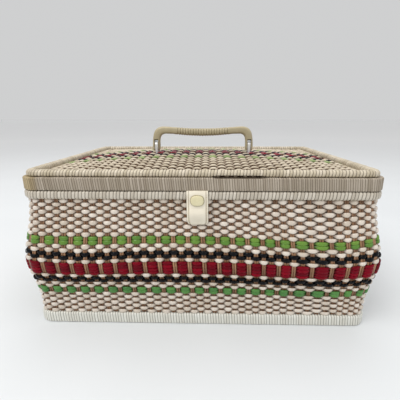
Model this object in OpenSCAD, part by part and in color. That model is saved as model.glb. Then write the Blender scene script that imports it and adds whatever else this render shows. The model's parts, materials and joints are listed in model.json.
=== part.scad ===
// Woven sewing box: a bellied basket of strands woven over upright stakes,
// a hinged lid with a folding carry handle and a snap strap, a padded satin
// lining, and two lift-out compartment trays that stand on ledges.
// Millimetres, +Z up, origin at the middle of the base on the surface it stands on.
// The front, with the snap strap, faces -Y. The hinges are at +Y.

/* [Basket] */
// Half width of the upper rim and of the lid band, along X
half_w = 180; // [170:1:190]
// Half depth of the upper rim and of the lid band, along Y
half_d = 127; // [120:1:134]
// Corner radius of the rim and the walls, seen from above
corner_r = 16; // [15:0.5:20]
// Height of the wrapped foot rim
foot_h = 12.5; // [10:0.5:14]
// Height of the underside of the upper rim
rim_z = 141; // [136:0.5:146]
// Height of the upper rim
rim_h = 9; // [8:0.5:11]
// How far the belly of the wall stands out past the rim
belly = 8.2; // [2:0.2:10]
// Height of the widest part of the belly
belly_z = 76; // [66:1:84]
// How gradually the belly swells, as a height
belly_span = 29.5; // [24:0.5:32]
// How far the wall draws in under the upper rim
neck = 2.3; // [0:0.1:3]

/* [Weave] */
// Rows of strands from foot to rim
rows = 35; // [35:1:35]
// Thickness of the strands outside the stakes
strand_t = 2.2; // [1.6:0.1:2.6]
// Thickness of the flat upright stakes
stake_t = 1.1; // [0.8:0.1:1.6]

/* [Lid] */
// Height of the wrapped band at the side of the lid
band_h = 13.3; // [12:0.1:15]
// Height of the rolled border on top of the band
border_h = 7.3; // [6.8:0.1:8]
// Rise of the woven top from its edge to its middle
crown = 9.5; // [4:0.5:10]
// Thickness of the quilted pad under the lid
pad_t = 5.4; // [3:0.1:6]

/* [Handle] */
// Distance from the middle of the lid to each handle leg
leg_x = 61.5; // [56:0.5:66]
// Height of the pivot above the highest point of the lid border
pivot_up = 13.4; // [13:0.1:15]
// Thickness of the grip front to back
grip_t = 9; // [8:0.5:10]

/* [Latch] */
// Width of the snap strap
strap_w = 21; // [18:0.5:24]
// Length of the snap strap below its bend
strap_l = 33.4; // [28:0.1:36]
// Sideways place of the strap, from the middle
latch_x = -3; // [-6:0.5:6]
// Radius of the snap cap
cap_r = 6.9; // [6:0.1:8]

/* [Trays] */
// Height of each tray
tray_h = 36; // [28:1:36]
// Thickness of the tray walls
tray_t = 1.8; // [1.5:0.1:2.4]
// Height of the ledge tops that the trays stand on
ledge_z = 103; // [96:1:103]

/* [Hidden] */

seam_z = rim_z + rim_h;
band_top = seam_z + band_h;
lid_top = band_top + border_h;
pitch = (rim_z - 0.1 - foot_h - 0.2) / rows;
eps = 0.1;

// Outward offset of the wall's outer face from the rim's outline, by height.
neck_z = 110;
function out(z) = belly * exp(-pow((z - belly_z) / belly_span, 2)) - neck * max(0, (z - neck_z) / (rim_z + 1 - neck_z));

// Rows of each colour from the rim down, as [rows, colour].
BANDS = [[10, "w"], [2, "g"], [2, "w"], [2, "k"], [1, "w"], [4, "r"], [1, "w"], [2, "k"], [2, "w"], [2, "g"], [7, "w"]];
function rows_above(i) = i == 0 ? 0 : BANDS[i - 1][0] + rows_above(i - 1);
wall_top = rim_z - 0.1;
function row_z(k) = wall_top - k * pitch;

// A rounded rectangle's outline as points: half sizes, corner radius, height.
SEG = 5;
function corner_pts(cx, cy, r, a0, z) = [for (i = [0:SEG]) [cx + r * cos(a0 + 90 * i / SEG), cy + r * sin(a0 + 90 * i / SEG), z]];
function outline(hx, hy, r, z) = concat(
  corner_pts(hx - r, hy - r, r, 0, z), corner_pts(-hx + r, hy - r, r, 90, z),
  corner_pts(-hx + r, -hy + r, r, 180, z), corner_pts(hx - r, -hy + r, r, 270, z));
// The wall's outline at height z, t inside its outer face.
function wall_line(z, t) = outline(half_w + out(z) - t, half_d + out(z) - t, corner_r + 0.7 * out(z) - t, z);
function flat_list(l) = [for (a = l) for (b = a) b];

// A closed solid between outer and inner lists of levels, each level a list of points.
// loop is true where each level runs all the way round.
module shell(outer, inner, loop) {
  L = len(outer);
  N = len(outer[0]);
  M = loop ? N : N - 1;
  o = L * N;
  pts = concat(flat_list(outer), flat_list(inner));
  side = [for (i = [0:L - 2]) for (j = [0:M - 1]) let (k = (j + 1) % N) each [
    [i * N + j, (i + 1) * N + j, (i + 1) * N + k], [i * N + j, (i + 1) * N + k, i * N + k]]];
  back = [for (i = [0:L - 2]) for (j = [0:M - 1]) let (k = (j + 1) % N) each [
    [o + i * N + j, o + (i + 1) * N + k, o + (i + 1) * N + j], [o + i * N + j, o + i * N + k, o + (i + 1) * N + k]]];
  low = [for (j = [0:M - 1]) let (k = (j + 1) % N) each [[j, k, o + k], [j, o + k, o + j]]];
  t = (L - 1) * N;
  high = [for (j = [0:M - 1]) let (k = (j + 1) % N) each [[t + j, o + t + k, t + k], [t + j, o + t + j, o + t + k]]];
  ends = loop ? [] : [for (i = [0:L - 2]) let (a = i * N, b = (i + 1) * N, c = i * N + N - 1, d = (i + 1) * N + N - 1) each [
    [a, o + a, o + b], [a, o + b, b], [c, o + d, o + c], [c, d, o + d]]];
  polyhedron(points = pts, faces = concat(side, back, low, high, ends), convexity = 8);
}

// Heights from low to high in n equal steps.
function steps(a, b, n) = [for (i = [0:n]) a + (b - a) * i / n];

// One band of strands right round the basket, from row k0 to row k1.
module weaver_band(k0, k1) {
  a = row_z(k1) + eps / 2;
  b = row_z(k0) - eps / 2;
  z = steps(a, b, max(1, ceil((k1 - k0) / 2)));
  shell([for (h = z) wall_line(h, 0)], [for (h = z) wall_line(h, strand_t)], true);
}
module weavers(c) {
  for (i = [0:len(BANDS) - 1])
    if (BANDS[i][1] == c) weaver_band(rows_above(i), rows_above(i) + BANDS[i][0]);
}

// The uprights of one wall or corner: points a to b of each level's outline.
module stake_wall(a, b) {
  z = steps(foot_h + 0.1, wall_top, 16);
  N = 4 * (SEG + 1);
  i0 = strand_t + 0.1;
  i1 = i0 + stake_t;
  function part(l) = [for (k = [a:b]) l[k % N]];
  shell([for (h = z) part(wall_line(h, i0))], [for (h = z) part(wall_line(h, i1))], false);
}
// A wall's uprights stop a little short of the corner uprights.
module side_stakes(which) {
  n = SEG + 1;
  difference() {
    // 0 rear, 1 left, 2 front, 3 right
    stake_wall(n * (which + 1) - 1, n * (which + 1));
    for (s = [-1, 1])
      if (which % 2 == 0) translate([s * (half_w - corner_r + 3.2), 0, 80]) cube([6, 4 * half_d, 200], center = true);
      else translate([0, s * (half_d - corner_r + 3.2), 80]) cube([4 * half_w, 6, 200], center = true);
  }
}

// Exact rounded rectangle.
module rr(hx, hy, r) {
  square([2 * hx - 2 * r, 2 * hy], center = true);
  square([2 * hx, 2 * hy - 2 * r], center = true);
  for (x = [-1, 1]) for (y = [-1, 1]) translate([x * (hx - r), y * (hy - r)]) circle(r, $fn = 64);
}
module plate(hx, hy, r, z, h) { translate([0, 0, z]) linear_extrude(h) rr(hx, hy, r); }

// A wrapped hoop. The wrap is open on the inside, where the hoop shows.
module hoop_wrap(hx, hy, r, ri, z, h, w, t) {
  difference() {
    plate(hx, hy, r, z, h);
    plate(hx - w, hy - w, ri, z - 1, h + 2);
    plate(hx - t, hy - t, max(ri, r - t), z + t, h - 2 * t);
  }
}
module hoop_core(hx, hy, r, ri, z, h, w, t) {
  difference() {
    plate(hx - t - 0.05, hy - t - 0.05, max(ri, r - t), z + t + 0.05, h - 2 * t - 0.1);
    plate(hx - w, hy - w, ri, z, h);
  }
}

// ---- basket ----
foot_w = 9;
rim_w = 8;
wrap_t = 1.2;
lin_x = half_w - 8.5;
lin_y = half_d - 8.5;
lin_t = 2;
board_z = 4;
board_h = 4;
module foot_hoop() color("tan") hoop_core(half_w + 0.5, half_d + 0.5, corner_r, corner_r - 9, 0, foot_h, foot_w, wrap_t);
module foot_wrap() color("ivory") hoop_wrap(half_w + 0.5, half_d + 0.5, corner_r, corner_r - 9, 0, foot_h, foot_w, wrap_t);
module base_board() color("sienna") plate(half_w + 0.5 - foot_w - 0.2, half_d + 0.5 - foot_w - 0.2, corner_r - 9.2, board_z, board_h);
module rim_hoop() color("tan") hoop_core(half_w, half_d, corner_r, corner_r - rim_w, rim_z, rim_h, rim_w, wrap_t);
module rim_wrap() color("ivory") hoop_wrap(half_w, half_d, corner_r, corner_r - rim_w, rim_z, rim_h, rim_w, wrap_t);

lin_z = board_z + board_h + 0.1;
lin_h = seam_z - 1 - lin_z;
module long_lining(s) color("antiquewhite") translate([-(half_w - 15), s > 0 ? lin_y - lin_t : -lin_y, lin_z]) cube([2 * (half_w - 15), lin_t, lin_h]);
module short_lining(s) color("antiquewhite") translate([s > 0 ? lin_x - lin_t : -lin_x, -(half_d - 15), lin_z]) cube([lin_t, 2 * (half_d - 15), lin_h]);
module floor_pad() color("antiquewhite") plate(lin_x - lin_t - 0.6, lin_y - lin_t - 0.6, 7, lin_z, 2.5);
module ledge(s) color("burlywood") translate([-160, s > 0 ? lin_y - lin_t - 8.1 : -(lin_y - lin_t - 0.1), ledge_z - 6.1]) cube([320, 8, 6]);

// ---- hinges ----
hinge_x = 110;
hinge_y = half_d + 2.7;
barrel_r = 2.2;
pin_r = 1;
leaf_w = 13;
module along_x(x, l, r) { translate([x, 0, 0]) rotate([0, 90, 0]) cylinder(h = l, r = r, $fn = 48); }
module body_leaf() {
  difference() {
    union() {
      translate([-leaf_w, half_d + 0.1, seam_z - 8.2]) cube([2 * leaf_w, 1, 8.2]);
      translate([0, hinge_y, seam_z]) { along_x(-leaf_w, 8.3, barrel_r); along_x(leaf_w - 8.3, 8.3, barrel_r); }
    }
    translate([-4.7, half_d, seam_z - 2.6]) cube([9.4, 3, 4]);
    translate([0, hinge_y, seam_z]) along_x(-leaf_w - 1, 2 * leaf_w + 2, pin_r + 0.05);
    for (x = [-8.5, 8.5]) translate([x, half_d - 1, seam_z - 5.2]) rotate([-90, 0, 0]) cylinder(h = 4, r = 1.25, $fn = 32);
  }
}
module lid_leaf() {
  difference() {
    union() {
      translate([-leaf_w, half_d + 0.1, seam_z + 0.1]) cube([2 * leaf_w, 1, 11]);
      translate([0, hinge_y, seam_z]) along_x(-4.4, 8.8, barrel_r);
    }
    for (s = [-1, 1]) translate([s * 9 - 4.3, half_d, seam_z - 1]) cube([8.6, 3, 3.6]);
    translate([0, hinge_y, seam_z]) along_x(-leaf_w - 1, 2 * leaf_w + 2, pin_r + 0.05);
    for (x = [-8.5, 8.5]) translate([x, half_d - 1, seam_z + 7]) rotate([-90, 0, 0]) cylinder(h = 4, r = 1.25, $fn = 32);
  }
}
module screw(x, z) {
  translate([x, half_d + 0.02, z]) rotate([-90, 0, 0]) {
    cylinder(h = 1.15, r = 1.15, $fn = 32);
    translate([0, 0, 1.1]) cylinder(h = 0.7, r = 2.1, $fn = 32);
  }
}
module hinge_leaves_body() color("goldenrod") for (s = [-1, 1]) translate([s * hinge_x, 0, 0]) body_leaf();
module hinge_leaves_lid() color("goldenrod") for (s = [-1, 1]) translate([s * hinge_x, 0, 0]) lid_leaf();
module hinge_pins() color("silver") for (s = [-1, 1]) translate([s * hinge_x, hinge_y, seam_z]) along_x(-leaf_w - 0.4, 2 * leaf_w + 0.8, pin_r);
module hinge_screws_body() color("goldenrod") for (s = [-1, 1]) for (x = [-8.5, 8.5]) screw(s * hinge_x + x, seam_z - 5.2);
module hinge_screws_lid() color("goldenrod") for (s = [-1, 1]) for (x = [-8.5, 8.5]) screw(s * hinge_x + x, seam_z + 7);

// ---- lid ----
band_w = 6.4;
bord_in = 3.5;
bord_w = 9;
module notch() { translate([latch_x - 10.8, -half_d - 1, seam_z - 1]) cube([21.6, band_w + 2, 2.4]); }
module lid_frame() color("tan") difference() {
  hoop_core(half_w, half_d, corner_r, corner_r - band_w, seam_z, band_h, band_w, wrap_t);
  notch();
}
module lid_band_wrap() color("darkkhaki") difference() {
  hoop_wrap(half_w, half_d, corner_r, corner_r - band_w, seam_z, band_h, band_w, wrap_t);
  notch();
}
module border_hoop() color("tan") hoop_core(half_w - bord_in, half_d - bord_in, corner_r - 3, 1.5, band_top, border_h, bord_w, wrap_t);
module border_wrap() color("ivory") hoop_wrap(half_w - bord_in, half_d - bord_in, corner_r - 3, 1.5, band_top, border_h, bord_w, wrap_t);

pan_x = half_w - bord_in - bord_w - 0.3;
pan_y = half_d - bord_in - bord_w - 0.3;
pan_z = lid_top - 4.6;
lid_pitch = 5.2;
function top_z(x, y) = pan_z + crown * (1 - pow(abs(x) / pan_x, 2.2)) * (1 - pow(abs(y) / pan_y, 2.2));
// A strip of the crowned top between two depths, from t0 to t1 below its upper face.
module strip(y0, y1, ny, t0, t1) {
  nx = 14;
  xs = steps(-pan_x, pan_x, nx);
  ys = steps(y0, y1, ny);
  shell([for (y = ys) [for (x = xs) [x, y, top_z(x, y) - t1]]], [for (y = ys) [for (x = xs) [x, y, top_z(x, y) - t0]]], false);
}
// Rows of the lid's stripes outward from its middle, as [first row, last row, colour].
STRIPES = [[2, 3, "w"], [3, 5, "k"], [5, 7, "w"], [7, 9, "g"]];
module lid_strips(c) {
  for (s = STRIPES) if (s[2] == c) for (m = [-1, 1]) {
    a = m * s[0] * lid_pitch + m * eps / 2;
    b = m * s[1] * lid_pitch - m * eps / 2;
    strip(min(a, b), max(a, b), 1, 0, strand_t);
  }
}
module lid_white_weavers() color("ivory") {
  lid_strips("w");
  strip(-pan_y, -9 * lid_pitch - eps / 2, 5, 0, strand_t);
  strip(9 * lid_pitch + eps / 2, pan_y, 5, 0, strand_t);
}
// Slots for the staple legs.
module leg_slots() {
  for (s = [-1, 1]) for (y = [-1, 1]) translate([s * foot_x, y * (bar_r + 1.1), lid_top]) cube([5, 1.6, 30], center = true);
}
module lid_red_weavers() color("crimson") difference() {
  strip(-2 * lid_pitch + eps / 2, 2 * lid_pitch - eps / 2, 2, 0, strand_t);
  leg_slots();
}
module lid_stakes() color("peru") difference() {
  strip(-pan_y, pan_y, 10, strand_t + 0.1, strand_t + 0.1 + stake_t);
  leg_slots();
}
card_z = pan_z - strand_t - stake_t - 0.1 - 0.2 - 1.5;
module lid_card() color("wheat") plate(half_w - band_w - 0.3, half_d - band_w - 0.3, corner_r - band_w - 0.3, card_z, 1.5);
module lid_pad() color("antiquewhite") plate(half_w - 9, half_d - 9, 10, card_z - 0.1 - pad_t, pad_t);

// ---- handle ----
pivot_z = lid_top + pivot_up;
foot_x = leg_x + 0.3;
bar_r = 2.3;
st_w = 4.4;
module staple() {
  translate([-st_w / 2, 0, 0]) {
    difference() {
      union() {
        rotate([0, 90, 0]) cylinder(h = st_w, r = bar_r + 1.6, $fn = 48);
        for (y = [-1, 1]) translate([0, y * (bar_r + 1.1) - 0.5, -(pivot_z - (lid_top - 2.4))]) cube([st_w, 1, pivot_z - (lid_top - 2.4)]);
      }
      translate([-1, 0, 0]) rotate([0, 90, 0]) cylinder(h = st_w + 2, r = bar_r + 0.6, $fn = 48);
      translate([-1, -(bar_r + 0.6), -20]) cube([st_w + 2, 2 * (bar_r + 0.6), 20]);
    }
  }
}
module handle_staples() color("silver") for (s = [-1, 1]) translate([s * foot_x, 0, pivot_z]) staple();
module staple_plates() color("silver") for (s = [-1, 1]) translate([s * foot_x, 0, lid_top - 2.9]) difference() {
  cube([18, 14, 0.9], center = true);
  for (y = [-1, 1]) translate([0, y * (bar_r + 1.1), 0]) cube([5, 1.6, 4], center = true);
}
// Grip outline in X and Z, right half from the outer foot to the inner foot, heights from the pivot.
GRIP_OUT = [[5.5, -6], [5.5, 0], [5.2, 5], [4.6, 10], [3.6, 14.5], [1.6, 18.6], [-1.6, 21.6], [-5.5, 23.2], [-10, 23.6], [-20, 23.1], [-32, 22.2], [-45, 21.4], [-61.5, 21.1]];
GRIP_IN = [[-61.5, 11.1], [-45, 11.6], [-32, 12.6], [-22, 13.6], [-14, 14], [-10, 13.2], [-7, 11.2], [-5.4, 8], [-4.9, 4], [-4.9, 0], [-4.6, -6]];
END = [[-3.6, -7.4], [-1.8, -8], [2.4, -8], [4.6, -7.4]];
function right_side() = concat(GRIP_OUT, GRIP_IN);
function mirror_x(l) = [for (i = [len(l) - 1:-1:0]) [-l[i][0], l[i][1]]];
function at_leg(l) = [for (p = l) [leg_x + p[0], p[1]]];
module grip_outline() {
  o = at_leg(GRIP_OUT);
  i = at_leg(GRIP_IN);
  e = at_leg(END);
  io = [for (k = [0:len(o) - 2]) o[k]];
  ii = [for (k = [1:len(i) - 1]) i[k]];
  polygon(concat(io, [o[len(o) - 1]], mirror_x(io), mirror_x(e), mirror_x(ii), [i[0]], ii, e));
}
module handle_grip() color("khaki") translate([0, 0, pivot_z]) {
  difference() {
    rotate([90, 0, 0]) translate([0, 0, -grip_t / 2]) linear_extrude(grip_t) grip_outline();
    for (s = [-1, 1]) translate([s * foot_x - 2.6, -grip_t, -9]) cube([5.2, 2 * grip_t, 14.2]);
  }
  for (s = [-1, 1]) translate([s * foot_x - 3.6, 0, 0]) rotate([0, 90, 0]) cylinder(h = 7.2, r = bar_r, $fn = 48);
}

// ---- latch ----
lat_y = -(half_d + 1.4);
lat_z = seam_z + 0.2;
snap_d = 8.6;
// How far the strap bows out from its bend, by the distance down it.
function bow(d) = 0.14 * d * (1 - d / 46);
tilt = atan(0.14 * (1 - 2 * snap_d / 46));
module on_strap() { translate([latch_x, lat_y - bow(snap_d), lat_z - snap_d]) rotate([-tilt, 0, 0]) children(); }
module latch_strap() color("cornsilk") difference() {
  d = steps(0.5, strap_l, 12);
  face = concat([for (a = d) [lat_y - bow(a) - 0.6, lat_z - a]], [for (k = [len(d) - 1:-1:0]) [lat_y - bow(d[k]) + 0.6, lat_z - d[k]]]);
  translate([latch_x - strap_w / 2, 0, 0]) rotate([90, 0, 90]) linear_extrude(strap_w) polygon(face);
  on_strap() rotate([90, 0, 0]) cylinder(h = 6, r = 2.2, center = true, $fn = 48);
}
module snap_cap() color("palegoldenrod") on_strap() translate([0, -0.66, 0]) rotate([90, 0, 0]) {
  linear_extrude(1.5) rr(cap_r, cap_r * 0.82, 4.4);
  translate([0, 0, 1.4]) linear_extrude(0.8) rr(cap_r - 1.2, cap_r * 0.82 - 1.2, 3.6);
}
module snap_socket() color("silver") on_strap() translate([0, 0.64, 0]) rotate([-90, 0, 0]) difference() {
  cylinder(h = 0.4, r = 3.8, $fn = 48);
  translate([0, 0, -1]) cylinder(h = 3, r = 2.2, $fn = 48);
}
module snap_stud() color("silver") translate([latch_x, -half_d - 0.02, lat_z - snap_d]) rotate([90, 0, 0]) {
  cylinder(h = 0.9, r = 1.8, $fn = 48);
  cylinder(h = 0.35, r = 3.6, $fn = 48);
}
module strap_tab() color("cornsilk") translate([latch_x, 0, 0]) {
  translate([-10, -half_d - 0.2, seam_z + 0.15]) cube([20, band_w + 1.5, 1]);
  translate([-10, -half_d + band_w + 0.3, seam_z + 0.15]) cube([20, 1, 9.5]);
}
module strap_tacks() color("silver") for (s = [-1, 1]) translate([latch_x + s * 6, -half_d + band_w + 1.35, seam_z + 3.4]) rotate([-90, 0, 0]) cylinder(h = 0.7, r = 1.7, $fn = 32);

// ---- trays ----
tr_x = lin_x - lin_t - 0.9;
tr_y = lin_y - lin_t - 1;
tr_z = ledge_z;
tray_w = tr_x - 0.5;
// Straight divider walls as [x0, y0, x1, y1], measured from a tray's front left inner corner, of a space iw by id.
iw = tray_w - 2 * tray_t;
id = 2 * tr_y - 2 * tray_t;
div_h = tray_h - 4;
LEFT_DIVS = [[0, 70, iw, 71.5], [80, 71.5, 81.5, id], [81.5, 148, iw, 149.5]];
RIGHT_DIVS = [[0, 160, iw, 161.5], [0, 80, iw, 81.5], [81, 81.5, 82.5, 160], [54, 0, 55.5, 80], [109, 0, 110.5, 80]];
module tray(divs, pegs) {
  difference() {
    translate([tray_w / 2, 0, tr_z]) linear_extrude(tray_h) rr(tray_w / 2, tr_y, 6);
    translate([tray_t, -tr_y + tray_t, tr_z + tray_t]) cube([iw, id, tray_h]);
    for (s = [-1, 1]) translate([tray_w / 2, s * tr_y - 3, tr_z + tray_h + 5]) rotate([-90, 0, 0]) cylinder(h = 6, r = 14, $fn = 96);
  }
  for (d = divs) translate([tray_t + d[0] - 0.2, -tr_y + tray_t + d[1] - 0.2, tr_z + tray_t - 0.2]) cube([d[2] - d[0] + 0.4, d[3] - d[1] + 0.4, div_h - tray_t + 0.2]);
  for (p = pegs) translate([p[0], p[1], tr_z + tray_t - 0.1]) cylinder(h = 22, r1 = 2.6, r2 = 2.1, $fn = 32);
}
PEGS = [for (i = [0:3]) [24 + 40 * i, -tr_y + tray_t + 35]];
module left_tray() color("ivory") translate([-tr_x, 0, 0]) tray(LEFT_DIVS, PEGS);
module right_tray() color("ivory") translate([0.5, 0, 0]) tray(RIGHT_DIVS, []);

base_board();
foot_hoop();
foot_wrap();
color("peru") side_stakes(2);  // front_stakes
color("peru") side_stakes(0);  // rear_stakes
color("peru") side_stakes(1);  // left_stakes
color("peru") side_stakes(3);  // right_stakes
color("peru") for (k = [0:3]) stake_wall(k * (SEG + 1), k * (SEG + 1) + SEG);  // corner_stakes
color("ivory") weavers("w");  // white_weavers
color("yellowgreen") weavers("g");  // green_weavers
color("black") weavers("k");  // black_weavers
color("crimson") weavers("r");  // red_weavers
rim_hoop();
rim_wrap();
long_lining(-1);  // front_lining
long_lining(1);  // rear_lining
short_lining(-1);  // left_lining
short_lining(1);  // right_lining
floor_pad();
ledge(-1);  // front_ledge
ledge(1);  // rear_ledge
hinge_leaves_body();
hinge_pins();
hinge_screws_body();
snap_stud();
lid_frame();
lid_band_wrap();
border_hoop();
border_wrap();
lid_stakes();
lid_white_weavers();
color("yellowgreen") lid_strips("g");  // lid_green_weavers
color("black") lid_strips("k");  // lid_black_weavers
lid_red_weavers();
lid_card();
lid_pad();
hinge_leaves_lid();
hinge_screws_lid();
handle_staples();
staple_plates();
strap_tab();
strap_tacks();
handle_grip();
latch_strap();
snap_cap();
snap_socket();
left_tray();
right_tray();
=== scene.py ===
import bpy, bmesh, json, math
import numpy as np
from mathutils import Matrix, Vector


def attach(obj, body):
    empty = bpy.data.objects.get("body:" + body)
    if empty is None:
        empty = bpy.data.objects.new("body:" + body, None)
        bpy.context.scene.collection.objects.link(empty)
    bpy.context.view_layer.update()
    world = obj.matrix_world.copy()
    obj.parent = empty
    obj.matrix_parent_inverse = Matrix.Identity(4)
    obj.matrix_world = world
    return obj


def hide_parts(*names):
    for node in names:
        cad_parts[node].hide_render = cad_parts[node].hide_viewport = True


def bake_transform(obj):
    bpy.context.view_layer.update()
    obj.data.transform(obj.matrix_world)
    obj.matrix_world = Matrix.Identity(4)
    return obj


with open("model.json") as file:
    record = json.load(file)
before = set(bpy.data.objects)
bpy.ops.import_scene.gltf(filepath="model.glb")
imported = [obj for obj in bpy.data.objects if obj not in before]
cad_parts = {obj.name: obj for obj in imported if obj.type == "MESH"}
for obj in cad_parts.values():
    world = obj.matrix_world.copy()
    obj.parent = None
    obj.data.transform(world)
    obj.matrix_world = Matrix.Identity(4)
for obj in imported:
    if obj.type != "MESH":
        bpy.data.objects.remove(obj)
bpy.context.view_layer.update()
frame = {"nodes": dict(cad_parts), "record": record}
rng = np.random.RandomState(7)
MM = 0.001

# ------------------------------------------------------------------ camera
cam_data = bpy.data.cameras.new("camera")
cam = bpy.data.objects.new("camera", cam_data)
bpy.context.scene.collection.objects.link(cam)
cam_data.lens = 27.02
cam_data.sensor_width = 36
cam_data.clip_start = 0.01
cam_data.clip_end = 30
yaw, pit, roll = math.radians(-1.49), math.radians(15.52), math.radians(-0.11)
fwd = Vector((math.sin(yaw) * math.cos(pit), math.cos(yaw) * math.cos(pit), -math.sin(pit)))
r0 = Vector((math.cos(yaw), -math.sin(yaw), 0))
u0 = r0.cross(fwd)
right = math.cos(roll) * r0 + math.sin(roll) * u0
up = right.cross(fwd)
m = Matrix((right, up, -fwd)).transposed().to_4x4()
m.translation = Vector((0.00696, -0.40898, 0.21994))
cam.matrix_world = m
bpy.context.scene.camera = cam

# ------------------------------------------------------------------ helpers
def mesh_object(name, V, F, mats, smooth=True, face_mat=None, attrs=None):
    """V in millimetres. F is a list or array of faces. attrs is {name: per-vertex values}."""
    me = bpy.data.meshes.new(name)
    V = np.asarray(V, float) * MM
    if isinstance(F, np.ndarray):
        n, k = F.shape
        me.vertices.add(len(V)); me.vertices.foreach_set("co", V.astype(np.float32).ravel())
        me.loops.add(n * k); me.loops.foreach_set("vertex_index", F.astype(np.int32).ravel())
        me.polygons.add(n); me.polygons.foreach_set("loop_start", (np.arange(n) * k).astype(np.int32))
        me.update(calc_edges=True)
        me.validate()
    else:
        me.from_pydata([tuple(v) for v in V], [], [tuple(int(i) for i in f) for f in F])
        me.update()
    for mt in (mats if isinstance(mats, (list, tuple)) else [mats]):
        me.materials.append(mt)
    if face_mat is not None:
        me.polygons.foreach_set("material_index", np.asarray(face_mat, np.int32))
    me.polygons.foreach_set("use_smooth", [smooth] * len(me.polygons))
    for a, v in (attrs or {}).items():
        at = me.attributes.new(a, "FLOAT", "POINT")
        at.data.foreach_set("value", np.asarray(v, np.float32))
    ob = bpy.data.objects.new(name, me)
    bpy.context.scene.collection.objects.link(ob)
    return ob

def grid_faces(n, m_, loop_n=False, loop_m=True, base=0):
    """Quads of an n by m_ grid of points, row by row, as an array."""
    i = np.arange(n if loop_n else n - 1); j = np.arange(m_ if loop_m else m_ - 1)
    I, J = np.meshgrid(i, j, indexing="ij")
    a = I * m_ + J; b = ((I + 1) % n) * m_ + J; c = ((I + 1) % n) * m_ + (J + 1) % m_; d = I * m_ + (J + 1) % m_
    return np.stack([a, b, c, d], -1).reshape(-1, 4) + base

def add_mod(ob, kind, name, **kw):
    md = ob.modifiers.new(name, kind)
    for k, v in kw.items(): setattr(md, k, v)
    return md

def recalc(ob):
    bm = bmesh.new(); bm.from_mesh(ob.data)
    bmesh.ops.recalc_face_normals(bm, faces=bm.faces)
    bm.to_mesh(ob.data); bm.free(); ob.data.update()
    return ob

def sstep(a, b, x):
    t = np.clip((np.asarray(x, float) - a) / (b - a), 0, 1)
    return t * t * (3 - 2 * t)

# ------------------------------------------------------------------ materials
def srgb(r, g, b):
    f = lambda c: c / 12.92 if c <= 0.04045 else ((c + 0.055) / 1.055) ** 2.4
    return (f(r / 255), f(g / 255), f(b / 255), 1)

def new_mat(name):
    mt = bpy.data.materials.new(name); mt.use_nodes = True
    nt = mt.node_tree
    return mt, nt, nt.nodes["Principled BSDF"]

def node(nt, kind, **kw):
    n = nt.nodes.new(kind)
    for k, v in kw.items():
        if k in ("inputs",):
            for kk, vv in v.items(): n.inputs[kk].default_value = vv
        else: setattr(n, k, v)
    return n

def mix(nt, fac, a, b, blend="MIX"):
    n = node(nt, "ShaderNodeMix", data_type="RGBA", blend_type=blend)
    for sock, v in ((n.inputs[0], fac), (n.inputs[6], a), (n.inputs[7], b)):
        if isinstance(v, bpy.types.NodeSocket): nt.links.new(v, sock)
        else: sock.default_value = v
    return n.outputs[2]

def ramp(nt, fac, stops):
    n = node(nt, "ShaderNodeValToRGB")
    e = n.color_ramp.elements
    while len(e) < len(stops): e.new(0.5)
    for el, (p, c) in zip(e, stops):
        el.position = p; el.color = c if isinstance(c, tuple) else (c, c, c, 1)
    nt.links.new(fac, n.inputs[0])
    return n.outputs[0]

def maths(nt, op, a, b=0.0, clamp=False):
    n = node(nt, "ShaderNodeMath", operation=op, use_clamp=clamp)
    for sock, v in ((n.inputs[0], a), (n.inputs[1], b)):
        if isinstance(v, bpy.types.NodeSocket): nt.links.new(v, sock)
        else: sock.default_value = v
    return n.outputs[0]

def noise(nt, scale, detail=3, rough=0.5, stretch=None):
    tc = node(nt, "ShaderNodeTexCoord")
    src = tc.outputs["Object"]
    if stretch:
        mp = node(nt, "ShaderNodeMapping"); mp.inputs["Scale"].default_value = stretch
        nt.links.new(src, mp.inputs[0]); src = mp.outputs[0]
    n = node(nt, "ShaderNodeTexNoise", inputs={"Scale": scale, "Detail": detail, "Roughness": rough})
    nt.links.new(src, n.inputs["Vector"])
    return n.outputs["Fac"]

def bump(nt, bsdf, height, strength, dist, prev=None):
    b = node(nt, "ShaderNodeBump", inputs={"Strength": strength, "Distance": dist})
    nt.links.new(height, b.inputs["Height"])
    if prev is not None: nt.links.new(prev, b.inputs["Normal"])
    nt.links.new(b.outputs[0], bsdf.inputs["Normal"])
    return b.outputs[0]

def darker(c, k): return (c[0] * k, c[1] * k, c[2] * k, 1)

def vinyl(name, light, dark, painted_shade, rough=(0.28, 0.42), painted_shade_amount=0.85, fine=700, spec=0.5, bump_d=0.00012, blotch=None, worn=None):
    """Glossy extruded strand: a tone of its own per bead, painted shade where it dives and in its grooves, fine surface
    unevenness.
    """
    mt, nt, b = new_mat(name)
    rnd = node(nt, "ShaderNodeAttribute", attribute_name="rnd").outputs["Fac"]
    deep = node(nt, "ShaderNodeAttribute", attribute_name="deep").outputs["Fac"]
    col = mix(nt, rnd, dark, light)
    cloudy = ramp(nt, noise(nt, 90, 3), [(0.35, 0.0), (0.7, 1.0)])
    col = mix(nt, maths(nt, "MULTIPLY", cloudy, 0.35), col, blotch or darker(dark, 0.86))
    if worn:
        w_ = node(nt, "ShaderNodeAttribute", attribute_name="worn").outputs["Fac"]
        col = mix(nt, w_, col, mix(nt, rnd, worn[0], worn[1]))
    # painted shade: the colour goes towards the dark shade colour where the deep channel is high, where the surface
    # lies back or in a groove
    col = mix(nt, maths(nt, "MULTIPLY", ramp(nt, deep, [(0.15, 0.0), (0.95, 1.0)]), painted_shade_amount), col, painted_shade)
    nt.links.new(col, b.inputs["Base Color"])
    n2 = noise(nt, fine, 3)
    nt.links.new(ramp(nt, n2, [(0.3, rough[0]), (0.7, rough[1])]), b.inputs["Roughness"])
    b.inputs["Specular IOR Level"].default_value = spec
    bump(nt, b, n2, 0.35, bump_d)
    return mt

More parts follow.
